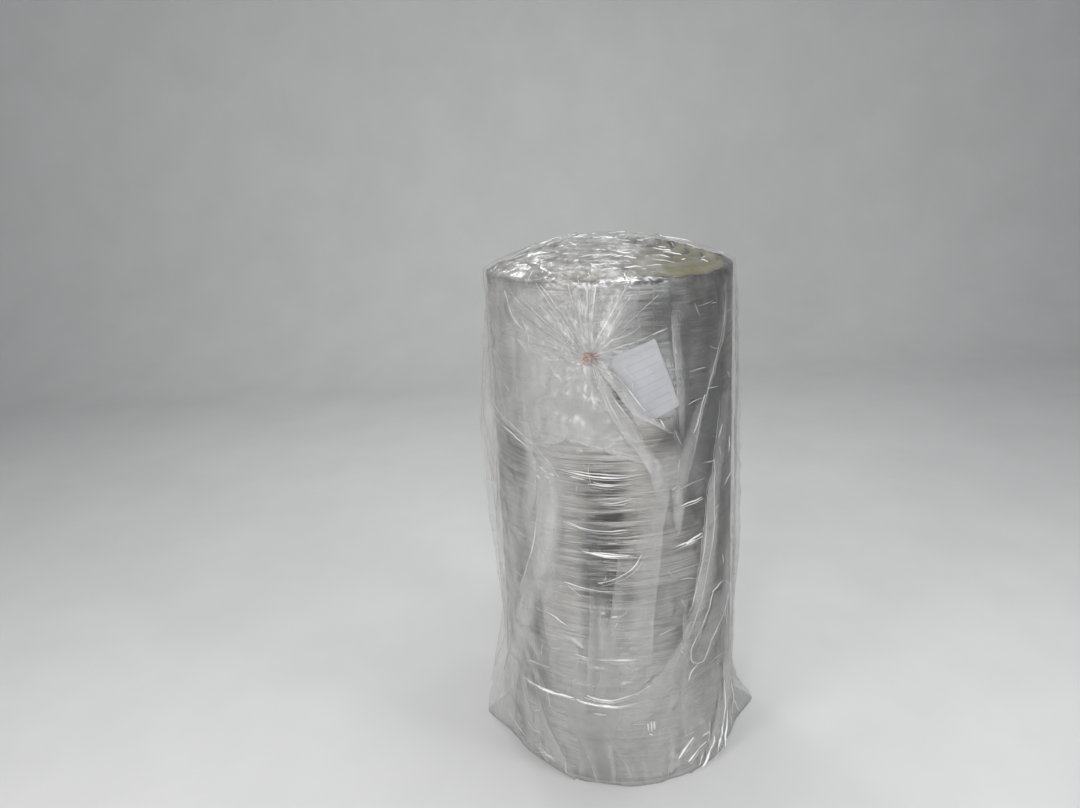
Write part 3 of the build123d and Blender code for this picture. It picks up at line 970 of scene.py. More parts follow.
# %% Pinched lines that the photo shows
PINCHES = [    # points as turn and height
    [(-42, 0.79), (-24, 0.795), (-9, 0.79), (7, 0.785)],
    [(-24, 0.78), (-17, 0.775)],
    [(-14, 0.77), (-6, 0.765), (1, 0.765)],
    [(-14, 0.73), (-4, 0.735), (6, 0.73)],
    [(-28, 0.67), (-22, 0.66), (-10, 0.655), (-1, 0.66)],
    [(-19, 0.60), (-10, 0.605), (0, 0.60)],
    [(-12, 0.53), (-2, 0.55), (5, 0.58)],
    [(-29, 0.52), (-17, 0.51), (-3, 0.51)],
    [(-45, 0.43), (-36, 0.43), (-28, 0.41)],
    [(-25, 0.34), (-12, 0.335), (4, 0.34)],
    [(-21, 0.232), (-9, 0.218), (5, 0.25)],
    [(-57, 0.26), (-48, 0.275), (-39, 0.28)],
    [(-17, 0.19), (-11, 0.19)],
    [(-12, 1.06), (-12, 1.12), (-11, 1.17), (-10, 1.20)],
    [(-14, 1.06), (-21, 1.12), (-27, 1.16), (-33, 1.20)],
    [(-10, 1.06), (-5, 1.085), (0, 1.09), (7, 1.11)],
    [(-9, 1.07), (-6, 1.10), (-1, 1.14), (3, 1.17)],
    [(-55, 1.18), (-50, 1.13), (-45, 1.10), (-30, 1.06)],
    [(-79, 0.90), (-66, 0.885), (-49, 0.865), (-35, 0.815), (-29, 0.775)],
    [(-79, 0.865), (-54, 0.855), (-41, 0.83)],
    [(-22, 0.87), (-11, 0.85), (4, 0.83)],
    [(-11, 1.02), (-6, 0.95), (1, 0.876), (8, 0.818)],
    [(-10, 1.02), (-5, 0.96), (1, 0.92), (7, 0.868)],
    [(-10, 1.03), (-4.5, 1.015), (0, 0.99), (7, 0.935), (12, 0.912)],
    [(24, 0.739), (30, 0.743), (37, 0.747)],
    [(38, 0.94), (34, 0.895), (31, 0.86)],
    [(44, 0.78), (44, 0.61), (34, 0.43), (20, 0.31)],
    [(40, 0.70), (38, 0.55), (28, 0.42)],
    [(-40, 0.70), (-44, 0.59), (-57, 0.45)],
    [(-54, 0.44), (-66, 0.28), (-78, 0.12)],
    [(58, 0.19), (60, 0.11), (64, 0.04)],
    [(-80, 0.045), (-60, 0.03), (-34, 0.03)],
]
BRIGHT_ARCS = [    # the broadest glints, points as turn and height
    [(-57, 0.208), (-48, 0.211), (-41, 0.213), (-33, 0.219), (-26, 0.223)],
    [(-20, 0.239), (-11, 0.228), (-4, 0.237), (2, 0.248), (9, 0.268)],
    [(-25, 0.34), (-12, 0.333), (4, 0.338)],
    [(-13, 0.53), (-4, 0.545), (3, 0.57), (6, 0.60)],
    [(-20, 0.605), (-10, 0.598), (1, 0.60)],
    [(-26, 0.672), (-18, 0.658), (-8, 0.655), (0, 0.660)],
    [(-30, 0.795), (-18, 0.787), (-4, 0.782), (7, 0.787)],
    [(-16, 0.767), (-6, 0.762), (2, 0.766)],
    [(-12, 0.725), (-5, 0.723), (2, 0.730)],
    [(23, 0.698), (30, 0.700), (36, 0.703)], [(21, 0.602), (26, 0.605), (32, 0.606)],
    [(28, 0.608), (36, 0.616)],
    [(-25, 0.222), (-14, 0.214), (-3, 0.216), (7, 0.232)],
    [(-56, 0.085), (-52, 0.078), (-47, 0.082)], [(21, 0.049), (26, 0.067), (31, 0.089)],
    [(27, 0.029), (32, 0.044), (38, 0.061)], [(-50, 0.02), (-44, 0.03), (-38, 0.03)],
    [(-44, 1.12), (-41, 1.09), (-40, 1.06)],
]
POCKET_OUTLINE = [    # the small pocket of film at the lower right, given the same way
    [(43, 0.452), (46, 0.462), (50, 0.465), (56, 0.45), (61, 0.42)],
    [(62, 0.425), (54, 0.385), (47, 0.355), (41, 0.32), (36, 0.288)],
    [(37, 0.287), (31, 0.290), (28, 0.325), (33, 0.36), (40, 0.41), (44, 0.455)],
    [(33, 0.285), (29, 0.27), (28, 0.25)],
]
FOOT_RIDGES = [    # bright ridges of the bunched film at the right of the foot, given the same way
    [(52, 0.190), (55, 0.114), (50, 0.054), (42, 0.006)], [(58, 0.130), (57, 0.070), (50, 0.010)],
    [(62, 0.180), (65, 0.110), (64, 0.050)], [(44, 0.060), (40, 0.030), (34, 0.008)],
]
FLAKES = [    # short wide glints, points as turn and height
    [(15, 0.905), (17, 0.885)], [(-23, 0.912), (-21.5, 0.906)],
    [(-42, 0.785), (-39, 0.780)], [(-38, 0.790), (-35, 0.782)], [(-36, 0.772), (-33, 0.768)],
    [(-41, 0.770), (-38, 0.765)], [(-33, 0.784), (-31, 0.778)], [(7, 0.168), (7.4, 0.142)],
    [(8.6, 0.170), (9, 0.140)], [(10, 0.168), (10.4, 0.144)], [(7.5, 0.135), (9.5, 0.130)],
    [(-52, 0.075), (-49, 0.070)], [(36, 0.075), (40, 0.082)], [(-27, 0.868), (-24, 0.874)],
    [(27, 0.600), (30, 0.606)],
    [(-8, 0.445), (-5, 0.447)], [(20, 0.740), (23, 0.748)], [(24, 0.335), (25, 0.325)],
    [(170, 0.700), (173, 0.706)], [(-140, 0.600), (-137, 0.604)], [(110, 0.500), (113, 0.507)],
]
print("fine lines:", len(PINCHES), "arcs:", len(BRIGHT_ARCS), "flakes:", len(FLAKES))


# %% Nearest point of the skin
def skin_finder():
    """Finds the nearest point of the bag's outside, and the way out from it, for points on the drum."""
    flat, normals = bag_outside.reshape(-1, 3), grid_normals(bag_outside).reshape(-1, 3)
    tree = KDTree(len(flat))
    for place, point in enumerate(flat):
        tree.insert(point, place)
    tree.balance()

    def find(point):
        total, ways, weight = np.zeros(3), np.zeros(3), 0.0
        for spot, place, away in tree.find_n(Vector(point), 4):
            share = 1 / (away + 0.002) ** 2
            total += share * ((flat[place] - point) @ normals[place]) * normals[place]
            ways += share * normals[place]
            weight += share
        return point + total / weight, ways / np.linalg.norm(ways)
    return find


nearest_skin = skin_finder()


def all_nearest(points):
    """The nearest skin points of several points, and the ways out from them, as two arrays."""
    spots, ways = zip(*[nearest_skin(point) for point in points])
    return np.array(spots), np.array(ways)


print("skin under the knot:", np.round(all_nearest([drum(KNOT_TURN, FILM_RADIUS, KNOT_HEIGHT)])[0][0], 4))


# %% The shape of a pinched line
BAR_SINK = 0.0010    # how far a bar's two lower edges lie in the skin
BAR_FLOOR = [0.0003, 0.0004, 0.0008]    # least heights of its left, right and crest over the floor


def pinch_bar(line, width, height, seed=65, over=0.0):
    """Points and faces of one pinched line, wide only in places. Over is its height above the skin."""
    spots, ways = all_nearest(line)
    along = np.gradient(spots, axis=0)
    across = np.cross(along, ways)
    across /= np.maximum(np.linalg.norm(across, axis=1, keepdims=True), 1e-9)
    taper = np.clip(np.sin(np.linspace(0, math.pi, len(line))), 0.05, 1)[:, None] ** 0.7
    taper = taper * np.clip(0.55 + 1.0 * rumple(np.array(line), 0.030, seed), 0.12, 1)[:, None]
    left = spots - across * width / 2 * taper + ways * (over - BAR_SINK)
    right = spots + across * width / 2 * taper + ways * (over - BAR_SINK)
    crest = spots + ways * (over + height * taper)
    points = np.stack([left, right, crest], axis=1).reshape(-1, 3)
    points[:, 2] = np.maximum(points[:, 2], np.tile(BAR_FLOOR, len(line)))
    faces = []
    for low in range(0, 3 * len(line) - 3, 3):
        for a, b in ((0, 1), (1, 2), (2, 0)):
            faces.append((low + a, low + 3 + a, low + 3 + b, low + b))
    end = 3 * (len(line) - 1)
    return points, faces + [(0, 1, 2), (end + 2, end + 1, end)]


# %% Pinched lines drawn at random
def short_curve(length, lean, bend):
    """Five points of a short bent line about its middle, as the runs along its two directions."""
    share = np.linspace(-0.5, 0.5, 5)
    return (length * (share * math.cos(lean) - bend * share ** 2 * math.sin(lean)),
            length * (share * math.sin(lean) + bend * share ** 2 * math.cos(lean)))


def from_knot(distances, angle):
    """Points as turn and height at distances from the knot, at an angle from straight up."""
    return [(KNOT_DEGREES + math.degrees(away * math.sin(angle) / FILM_RADIUS),
             KNOT_HEIGHT + away * math.cos(angle)) for away in distances]


def random_pinches(count=260, seed=7):
    """Short curved lines all round the bag, most of them nearly level."""
    draw = np.random.default_rng(seed)
    lines = []
    for _ in range(count):
        turn, height = draw.uniform(-180, 180), draw.uniform(0.04, 1.15)
        length, lean = draw.uniform(0.012, 0.055), draw.normal(0, 0.35)
        if draw.random() < 0.25:
            lean = draw.uniform(1.0, 2.2)
        runs = short_curve(length, lean, draw.uniform(-0.35, 0.35))
        lines.append([(turn + math.degrees(x / FILM_RADIUS), height + y) for x, y in zip(*runs)])
    return lines


# %% [markdown]
# Where the slack is drawn aside it lies over itself in pleats. A pleat is one more layer of film, so it
# looks milkier than the single skin. Each is a strip between two lines, thin and closed, that lies on
# the skin and arches off it a little in its middle. Most have one crisp edge, made bright by a painted
# glint, and fade away towards the other, and soft ones fade at both. The ones that the photo shows are
# listed. Wedges that spread from the neck, and faint ones all round, are drawn at random from a fixed seed.

# %% Pleats that the photo shows
PLEATS = {    # name: (one edge, other edge, milkiness, arch, layer), edges as turn and height
    "shoulder": (
        [(-76, 1.17), (-80, 1.02), (-79, 0.90), (-66, 0.88), (-49, 0.86), (-36, 0.81), (-29, 0.77)],
        [(-11, 1.18), (-13, 1.12), (-14, 1.05), (-10, 1.00), (-5, 0.94), (0, 0.88), (4, 0.83)],
        0.34, 0.0020, 0),
    "inner shoulder": (
        [(-50, 1.18), (-40, 1.12), (-28, 1.07), (-30, 0.98), (-34, 0.90), (-33, 0.83)],
        [(-2, 1.18), (-9, 1.12), (-13, 1.05), (-12, 0.99), (-10, 0.92), (-8, 0.84)],
        0.20, 0.0015, 2),
    "sash": (
        [(-13, 1.04), (-9, 0.986), (-6, 0.934), (1, 0.866), (7, 0.814), (10, 0.786), (12, 0.745), (14, 0.70)],
        [(-10, 1.04), (-3, 0.981), (0, 0.926), (6, 0.875), (13, 0.822), (17, 0.782), (19, 0.744), (19, 0.68)],
        0.42, 0.0020, 4),
    "fold by the tag": (
        [(-11, 1.045), (-7, 1.010), (-2, 0.968), (5, 0.915), (12, 0.895), (20, 0.865)],
        [(-9, 1.048), (-5, 1.018), (0, 0.990), (7, 0.936), (13, 0.912), (21, 0.872)], 0.60, 0.0012, 6),
    "hem": (
        [(-42, 0.830), (-30, 0.852), (-22, 0.866), (-11, 0.848), (-4, 0.833), (3, 0.820), (10, 0.802)],
        [(-44, 0.930), (-32, 0.955), (-23, 0.965), (-11, 0.945), (-4, 0.920), (1, 0.890), (7, 0.850)],
        0.50, 0.0012, 4),
    "middle band": (
        [(2, 0.82), (5, 0.69), (4, 0.62), (2, 0.54), (-2, 0.46), (-8, 0.36), (-14, 0.24)],
        [(21, 0.80), (17, 0.69), (15, 0.62), (13, 0.54), (11, 0.46), (10, 0.36), (9, 0.24)],
        0.30, 0.0020, 1),
    "hanging flap": (
        [(20, 0.76), (20, 0.69), (21, 0.65), (22.5, 0.63)],
        [(24, 0.76), (25.5, 0.69), (25, 0.65), (23.5, 0.63)], 0.34, 0.0015, 2),
    "left band": (
        [(-42, 0.88), (-41, 0.70), (-44, 0.60), (-60, 0.42), (-73, 0.26), (-82, 0.06)],
        [(-26, 0.88), (-26, 0.72), (-29, 0.61), (-42, 0.43), (-53, 0.28), (-66, 0.06)], 0.46, 0.0030, 1),
    "left foot band": (
        [(-66, 0.46), (-76, 0.28), (-84, 0.12), (-88, -0.02)],
        [(-46, 0.42), (-55, 0.27), (-67, 0.10), (-74, -0.02)], 0.44, 0.0030, 3),
    "left corner": (
        [(-66, 0.62), (-72, 0.42), (-80, 0.25), (-86, 0.02)],
        [(-50, 0.62), (-60, 0.40), (-72, 0.18), (-80, 0.02)], 0.34, 0.0030, 0),
    "right sweep": (
        [(50, 0.93), (49, 0.86), (44, 0.77), (40, 0.715), (37, 0.62), (36, 0.54), (31, 0.44), (24, 0.36),
         (12, 0.28), (-14, 0.20)],
        [(57, 0.93), (56, 0.85), (52, 0.76), (49, 0.685), (48, 0.60), (47, 0.52), (41, 0.43), (33, 0.34),
         (22, 0.25), (-8, 0.14)], 0.34, 0.0030, 2),
    "right fall": (
        [(58, 0.62), (52, 0.46), (50, 0.34), (54, 0.20), (60, 0.03)],
        [(66, 0.62), (60, 0.46), (58, 0.34), (62, 0.20), (68, 0.03)], 0.30, 0.0030, 1),
    "right edge": (
        [(66, 1.18), (68, 0.90), (68, 0.60), (70, 0.45), (68, 0.22)],
        [(79, 1.18), (81, 0.90), (82, 0.60), (81, 0.45), (80, 0.22)], 0.36, 0.0025, 1),
    "right long": (
        [(53, 1.19), (49, 1.07), (40, 0.985), (36, 0.94), (30, 0.90), (25, 0.84), (24, 0.77), (24, 0.73)],
        [(55, 1.19), (51, 1.07), (43, 0.985), (40, 0.94), (35, 0.895), (33, 0.834), (30, 0.79), (26, 0.73)],
        0.38, 0.0020, 3),
    "beside the tag": (
        [(21, 1.15), (22, 1.04), (24, 0.95), (25, 0.86)],
        [(23, 1.15), (24.5, 1.04), (26, 0.95), (27, 0.86)], 0.20, 0.0012, 0),
    "pocket": (
        [(45, 0.455), (40, 0.40), (33, 0.345), (30, 0.31)],
        [(61, 0.42), (54, 0.37), (44, 0.31), (36, 0.285)], 0.14, 0.0040, 4),
    "apron": (
        [(-48, 0.36), (-50, 0.22), (-44, 0.10), (-36, 0.01)],
        [(44, 0.36), (48, 0.22), (50, 0.10), (50, 0.01)], 0.15, 0.0010, 0),
    "foot left": (
        [(-66, 0.16), (-60, 0.05), (-52, 0.01)], [(-46, 0.20), (-38, 0.09), (-26, 0.01)], 0.30, 0.0030, 3),
    "foot right": (
        [(56, 0.27), (53, 0.17), (48, 0.07), (40, 0.01)],
        [(64, 0.27), (64, 0.17), (60, 0.07), (54, 0.01)], 0.44, 0.0060, 2),
    "foot ridge": (
        [(47, 0.15), (43, 0.07), (34, 0.01)], [(52, 0.15), (48, 0.07), (39, 0.01)], 0.50, 0.0050, 1),
    "back fall": (
        [(-150, 1.19), (-158, 0.92), (-156, 0.66), (-168, 0.40), (-164, 0.02)],
        [(-137, 1.19), (-146, 0.92), (-142, 0.66), (-150, 0.40), (-146, 0.02)], 0.48, 0.0030, 1),
    "back right": (
        [(150, 1.19), (143, 0.92), (148, 0.66), (140, 0.38), (148, 0.02)],
        [(166, 1.19), (155, 0.92), (157, 0.66), (152, 0.38), (163, 0.02)], 0.48, 0.0030, 1),
    "right side": (
        [(104, 1.18), (110, 0.90), (104, 0.62), (112, 0.35), (106, 0.02)],
        [(117, 1.18), (119, 0.90), (116, 0.62), (123, 0.35), (120, 0.02)], 0.48, 0.0030, 1),
    "left side": (
        [(-98, 1.18), (-106, 0.92), (-112, 0.62), (-106, 0.28)],
        [(-112, 1.18), (-121, 0.92), (-124, 0.62), (-120, 0.28)], 0.44, 0.0030, 1),
    "back cross": (
        [(-172, 1.02), (-190, 0.90), (-214, 0.80), (-236, 0.74)],
        [(-176, 1.08), (-194, 0.95), (-218, 0.85), (-236, 0.80)], 0.35, 0.0025, 3),
    "back sheet": (
        [(-124, 0.60), (-128, 0.40), (-120, 0.20), (-124, 0.01)],
        [(-200, 0.56), (-206, 0.38), (-200, 0.20), (-204, 0.01)], 0.26, 0.0010, 0),
}
SOFT_PLEATS = ("left band", "left foot band", "hanging flap", "foot ridge")    # both edges fade away
PLAIN_PLEATS = ("middle band",)    # crisp at one edge, which isn't bright
print(len(PLEATS), "pleats listed,", len(SOFT_PLEATS), "of them soft")


# %% Laying a pleat on the skin
PLEAT_SKIN = 0.0003
LAYER_STEP = 0.0009       # each layer of pleats lies this much higher than the one under it
FIRST_LIFT = 0.0006
ROW_LENGTH, COLUMN_WIDTH = 0.010, 0.0085    # size of a pleat's faces
WIDE_PLEAT = 0.2          # a wider pleat is a sheet, and fades only at its very edge
EDGE_WANDER = math.radians(1.1)


def wall_line(points, count):
    """A smooth line on the bag's plain wall, as evenly spaced points."""
    turn, height = turns_and_heights(points)
    line = rounded_line(np.stack([turn * FILM_RADIUS, height], axis=1), 3)
    steps = np.concatenate([[0], np.cumsum(np.linalg.norm(np.diff(line, axis=0), axis=1))])
    even = np.linspace(0, steps[-1], count)
    turn = np.interp(even, steps, line[:, 0]) / FILM_RADIUS
    height = np.interp(even, steps, line[:, 1])
    return turn, height


def pleat_grid(one, other, layer):
    """Turns and heights of a pleat's points, rows by columns, between its two edges, and its width."""
    runs = [(math.radians(b[0] - a[0]) * FILM_RADIUS, b[1] - a[1]) for a, b in zip(one, one[1:])]
    rows = max(8, int(sum(math.hypot(*run) for run in runs) / ROW_LENGTH))
    edges = []
    for points, seed in ((one, 66 + layer), (other, 76 + layer)):
        turn, height = wall_line(points, rows)
        turn = turn + EDGE_WANDER * rumple(drum(turn, 1.0, height), (9, 9, 0.07), seed)
        edges.append((turn, height))
    (turn_a, height_a), (turn_b, height_b) = edges
    widest = float(np.max(np.hypot((turn_b - turn_a) * FILM_RADIUS, height_b - height_a)))
    share = np.linspace(0, 1, int(np.clip(widest / COLUMN_WIDTH, 9, 44)))
    turn = turn_a[:, None] * (1 - share) + turn_b[:, None] * share
    height = height_a[:, None] * (1 - share) + height_b[:, None] * share
    return turn, height, widest


def pleat_milk(base, shape, cloud, layer, soft, widest):
    """Milkiness over a pleat: streaked, fading at its ends and towards one edge, or both if it is soft."""
    rows, columns = shape
    share, down = np.linspace(0, 1, columns), np.linspace(0, 1, rows)
    fade = smooth_step(0, 0.22, down) * smooth_step(1, 0.70, down)
    fine = 0.18 if soft else 0.40
    streaks = 0.85 + 0.30 * rumple(base, (0.05, 0.05, 0.14), 62)
    streaks = streaks + fine * rumple(base, (0.011, 0.011, 0.10), 63)
    side = 1 - share if layer % 2 == 0 else share
    if soft:
        slope = np.sin(share * math.pi) ** 0.8
    elif widest > WIDE_PLEAT:
        slope = smooth_step(0.0, 0.08, side)
    else:
        slope = smooth_step(0.0, 0.6, side) * (0.45 + 0.55 * side)
    milk = 1.25 * cloud * np.repeat(fade, columns) * np.clip(streaks, 0.1, 2) * np.tile(slope, rows)
    return milk if layer >= 4 or soft else milk * (0.3 + 0.7 * clearness(base))


def pleat_strip(one, other, cloud, arch, layer, soft=False):
    """Points, faces and milkiness of a pleat, and its crisp edge line. Its other edge fades away."""
    turn, height, widest = pleat_grid(one, other, layer)
    rows, columns = turn.shape
    share = np.linspace(0, 1, columns)
    base = drum(turn, bag_radius(turn, height), height).reshape(-1, 3)
    spots, ways = all_nearest(base)
    ends = np.sin(np.linspace(0, math.pi, rows)) ** 0.3
    bow = (arch * np.sin(share * math.pi)[None, :] * ends[:, None]).reshape(-1)
    ripple = 0.0006 * (1 + rumple(base, (0.03, 0.03, 0.09), 61))
    lift = FIRST_LIFT + LAYER_STEP * layer + bow + ripple * np.tile(np.sin(share * math.pi), rows)
    upper, lower = spots + ways * (lift + PLEAT_SKIN)[:, None], spots + ways * lift[:, None]
    upper[:, 2], lower[:, 2] = np.maximum(upper[:, 2], 0.0008), np.maximum(lower[:, 2], 0.0005)
    middle = (rows // 2) * columns + columns // 2
    across, down = upper[middle + 1] - upper[middle], upper[middle + columns] - upper[middle]
    faces = sheet_faces(rows, columns)
    if np.cross(across, down) @ ways[middle] < 0:    # the pleat's edges were given the other way round
        faces = [face[::-1] for face in faces]
    edge = upper.reshape(rows, columns, 3)[2:-2, 0 if layer % 2 == 0 else -1]
    milk = pleat_milk(base, turn.shape, cloud, layer, soft, widest)
    return np.concatenate([upper, lower]), faces, np.clip(np.tile(milk, 2), 0, 1), edge


# %% Pleats drawn at random
def random_pleats(count=34, seed=57):
    """Faint pleats that fall all round the bag, away from the tag and the neck."""
    draw = np.random.default_rng(seed)
    made = []
    while len(made) < count:
        turn, top, length = draw.uniform(-180, 180), draw.uniform(0.35, 1.17), draw.uniform(0.16, 0.55)
        width, lean, bend = draw.uniform(3, 9), draw.normal(0, 14), draw.normal(0, 5)
        if -30 < turn < 62 and top > 0.70:
            continue
        low = max(top - length, 0.01)
        one = [(turn, top), (turn + 0.4 * lean + bend, (top + low) / 2), (turn + lean, low)]
        slim = draw.uniform(0.2, 0.8)
        other = [(t + width * w, h) for (t, h), w in zip(one, (slim, 1.0, 1.2 - slim))]
        cloud, arch, layer = draw.uniform(0.16, 0.34), draw.uniform(0.001, 0.003), int(draw.integers(0, 4))
        made.append((one, other, cloud, arch, layer, False))
    return made


def fan_pleats(count=18, seed=67):
    """Wedges of gathered film that spread from the neck to the rim."""
    draw = np.random.default_rng(seed)
    made = []
    for k in range(count):
        angle = math.radians(-82 + 150 * (k + draw.uniform(-0.35, 0.35)) / count)
        reach = min(0.150 / max(math.cos(angle), 0.2), 0.26) * draw.uniform(0.72, 1.0)
        spread = draw.uniform(0.016, 0.055)
        distances = np.linspace(0.018, reach, 5)
        milkiness, layer = draw.uniform(0.35, 0.75), int(draw.integers(1, 5))
        if math.degrees(angle) < 12 or k % 2 == 0:
            one, other = from_knot(distances, angle), from_knot(distances, angle + spread)
            made.append((one, other, milkiness, 0.0012, layer, math.degrees(angle) < 5))
    return made


print(len(fan_pleats()), "pleats in the fan,", len(random_pleats()), "all round")


# %% All pleats in one piece
# the bars on the pleats' crisp edges are painted partly white, as painted glints
EDGE_WIDTH, EDGE_HEIGHT, EDGE_MILK, EDGE_GLINT = 0.0020, 0.0008, 0.5, 0.35


def film_piece(name, parts):
    """One piece of film from parts, each given as points, faces, milkiness and painted glint share."""
    points, faces = joined([part[:2] for part in parts])
    piece = mesh_piece(name, points, faces, [film])
    store(piece, "milk", np.concatenate([np.broadcast_to(part[2], len(part[0])) for part in parts]))
    store(piece, "painted_glint", np.concatenate([np.full(len(part[0]), part[3]) for part in parts]))
    return piece


def make_pleats():
    listed = [pleat + (name in SOFT_PLEATS,) for name, pleat in PLEATS.items()]
    unlit = [name in PLAIN_PLEATS or name in SOFT_PLEATS for name in PLEATS]
    drawn = fan_pleats() + random_pleats()
    unlit += [pleat[-1] for pleat in drawn]
    parts = []
    for number, pleat in enumerate(listed + drawn):
        strip, strip_faces, strip_milk, edge = pleat_strip(*pleat)
        parts.append((strip, strip_faces, strip_milk, 0.0))
        if not unlit[number]:
            bar = pinch_bar(edge, EDGE_WIDTH, EDGE_HEIGHT, seed=64 + number % 7)
            parts.append((*bar, EDGE_MILK, EDGE_GLINT))
    return film_piece("film_pleats", parts)


pleats = make_pleats()
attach(pleats, "root")
print("pleats:", len(PLEATS), "listed ones,", len(pleats.data.polygons), "faces in all")


# %% [markdown]
# The bag is two skins a third of a millimetre apart, the inner one turned inside out, so that it has
# a thickness everywhere. The pinched lines take the same material, since they are the same film. A fan of
# fine ones spreads from the neck, and short ones crinkle the crown.

# %% Pinched lines of the fan, the crown and the foot
def fan_pinches(count=28, seed=17):
    """Straight fine lines that spread from the neck, the longer ones upwards."""
    draw = np.random.default_rng(seed)
    lines = []
    for k in range(count):
        angle = math.radians(-100 + 200 * (k + draw.uniform(-0.4, 0.4)) / count)
        if k % 4 == 3:
            angle += math.pi
        if 0.25 < angle < 1.45 and k % 2 or 1.45 <= angle < 2.5:
            continue
        start, reach = draw.uniform(0.016, 0.03), draw.uniform(0.10, 0.22)
        up = math.cos(angle)
        reach = min(reach, (0.150 / up) if up > 0.2 else 0.7 * reach)
        lines.append(from_knot(np.linspace(start, max(reach, start + 0.02), 4), angle))
    return lines


def crown_pinches(count=190, seed=27):
    """Short lines on the crown, most of them across the pull towards the neck."""
    draw = np.random.default_rng(seed)
    lines = []
    for _ in range(count):
        reach, angle = FILM_RADIUS * 0.95 * math.sqrt(draw.uniform(0.01, 1)), draw.uniform(0, math.tau)
        x, y = reach * math.cos(angle), reach * math.sin(angle)
        lean = draw.normal(0.0, 0.28) if draw.random() < 0.85 else draw.normal(1.5, 0.4)
        length, bend = draw.uniform(0.010, 0.046), draw.uniform(-0.5, 0.5)
        run_x, run_y = short_curve(length, lean, bend)
        middle_share = math.exp(-((x - 0.02) / 0.13) ** 2 - ((y + 0.08) / 0.14) ** 2)
        if draw.random() < 0.35 + 0.65 * middle_share:    # most of them near the middle of the crown
            lines.append(on_crown(x + run_x, y + run_y))
    return lines


def make_bag():
    outer_faces = balloon_faces(*bag_outside.shape[:2])
    middle_low, middle_high = bag_outside[0].mean(0), bag_outside[-1].mean(0)
    skins = []
    for grid, shift, faces in ((bag_outside, 0.0, outer_faces),
                               (bag_inside, FILM_SKIN, [face[::-1] for face in outer_faces])):
        poles = np.array([middle_low + [0, 0, shift], middle_high - [0, 0, shift]])
        skins.append((np.concatenate([grid.reshape(-1, 3), poles]), faces))
    piece = mesh_piece("film_skin", *joined(skins), [film])
    milk = np.concatenate([bag_milk.reshape(-1), bag_milk[[0, -1]].mean(1)])
    store(piece, "milk", np.tile(milk, 2))
    return piece


def foot_pinches(count=26, seed=37):
    """Short upright lines where the film bunches at the foot."""
    draw = np.random.default_rng(seed)
    lines = []
    for k in range(count):
        turn, top = 360 * (k + draw.uniform(-0.4, 0.4)) / count, draw.uniform(0.03, 0.12)
        lean = draw.normal(0, 5)
        lines.append([(turn + lean, top), (turn + 0.4 * lean, top * 0.5), (turn, 0.006)])
    return lines


for name, drawn in (("fan", fan_pinches()), ("crown", crown_pinches()), ("foot", foot_pinches())):
    print("pinched lines drawn for the", name + ":", len(drawn))


# %% All pinched lines in one piece
# whiteness is a painted glint
PINCH_LOOKS = {    # width, height, milkiness, whiteness and height over the skin
    "fine": (0.0036, 0.0014, 1.0, 1.0, 0.0),
    "echo": (0.0026, 0.0010, 0.8, 0.7, 0.0),
    "flake": (0.0080, 0.0018, 1.0, 1.0, 0.0),
    "short": (0.0022, 0.0010, 0.8, 0.5, 0.0),
    "fan": (0.0044, 0.0012, 0.7, 0.5, 0.0),
    "foot": (0.0030, 0.0014, 0.8, 0.6, 0.0),
    "crown": (0.0038, 0.0014, 0.9, 0.8, 0.0),
    "arc": (0.0056, 0.0016, 1.0, 1.0, 0.0018),
    "low arc": (0.0095, 0.0016, 1.0, 1.0, 0.0018),
    "pocket": (0.0038, 0.0012, 0.9, 0.9, 0.0018),
    "foot ridge": (0.0120, 0.0022, 1.0, 1.0, 0.0075),
}
LOW_ARC = 0.3    # arcs that start below this height are broader


def on_wall(points):
    turn, height = turns_and_heights(points)
    return drum(turn, bag_radius(turn, height), height)


def echo_of(points, number):
    """A fainter line just under a bright arc."""
    return [(turn + 1.2, height - 0.005 - 0.001 * (number % 4)) for turn, height in points]


def make_pinches():
    echoes = [echo_of(points, number) for number, points in enumerate(BRIGHT_ARCS)]
    on_skin = [("fine", PINCHES), ("echo", echoes), ("flake", FLAKES), ("short", random_pinches()),
               ("fan", fan_pinches()), ("foot", foot_pinches())]
    lines = [(look, on_wall(points)) for look, group in on_skin for points in group]
    lines += [("crown", points) for points in crown_pinches()]
    lines += [("arc" if points[0][1] > LOW_ARC else "low arc", on_wall(points)) for points in BRIGHT_ARCS]
    lines += [("pocket", on_wall(points)) for points in POCKET_OUTLINE]
    lines += [("foot ridge", on_wall(points)) for points in FOOT_RIDGES]
    parts = []
    for look, line in lines:
        width, height, cloud, glint_share, over = PINCH_LOOKS[look]
        parts.append((*pinch_bar(rounded_line(line), width, height, over=over), cloud, glint_share))
    return film_piece("film_pinches", parts)


# %% Both film pieces
bag = make_bag()
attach(bag, "root")
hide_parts("film_bag")
print("bag:", sum(len(face.vertices) - 2 for face in bag.data.polygons), "triangles")
pinches = make_pinches()
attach(pinches, "root")
print("pinches:", len(pinches.data.polygons), "faces")


# %% [markdown]
# At the front the bag is drawn together into a neck no thicker than a thumb and tied. Film that is
# gathered like this stands in sharp radial pleats, which run out into the fan of folds on the wall, and
# beyond the string it opens again in a short crumpled tail. It is turned round its own axis, ring after
# ring, and each ring is a wavy star whose points grow milky.

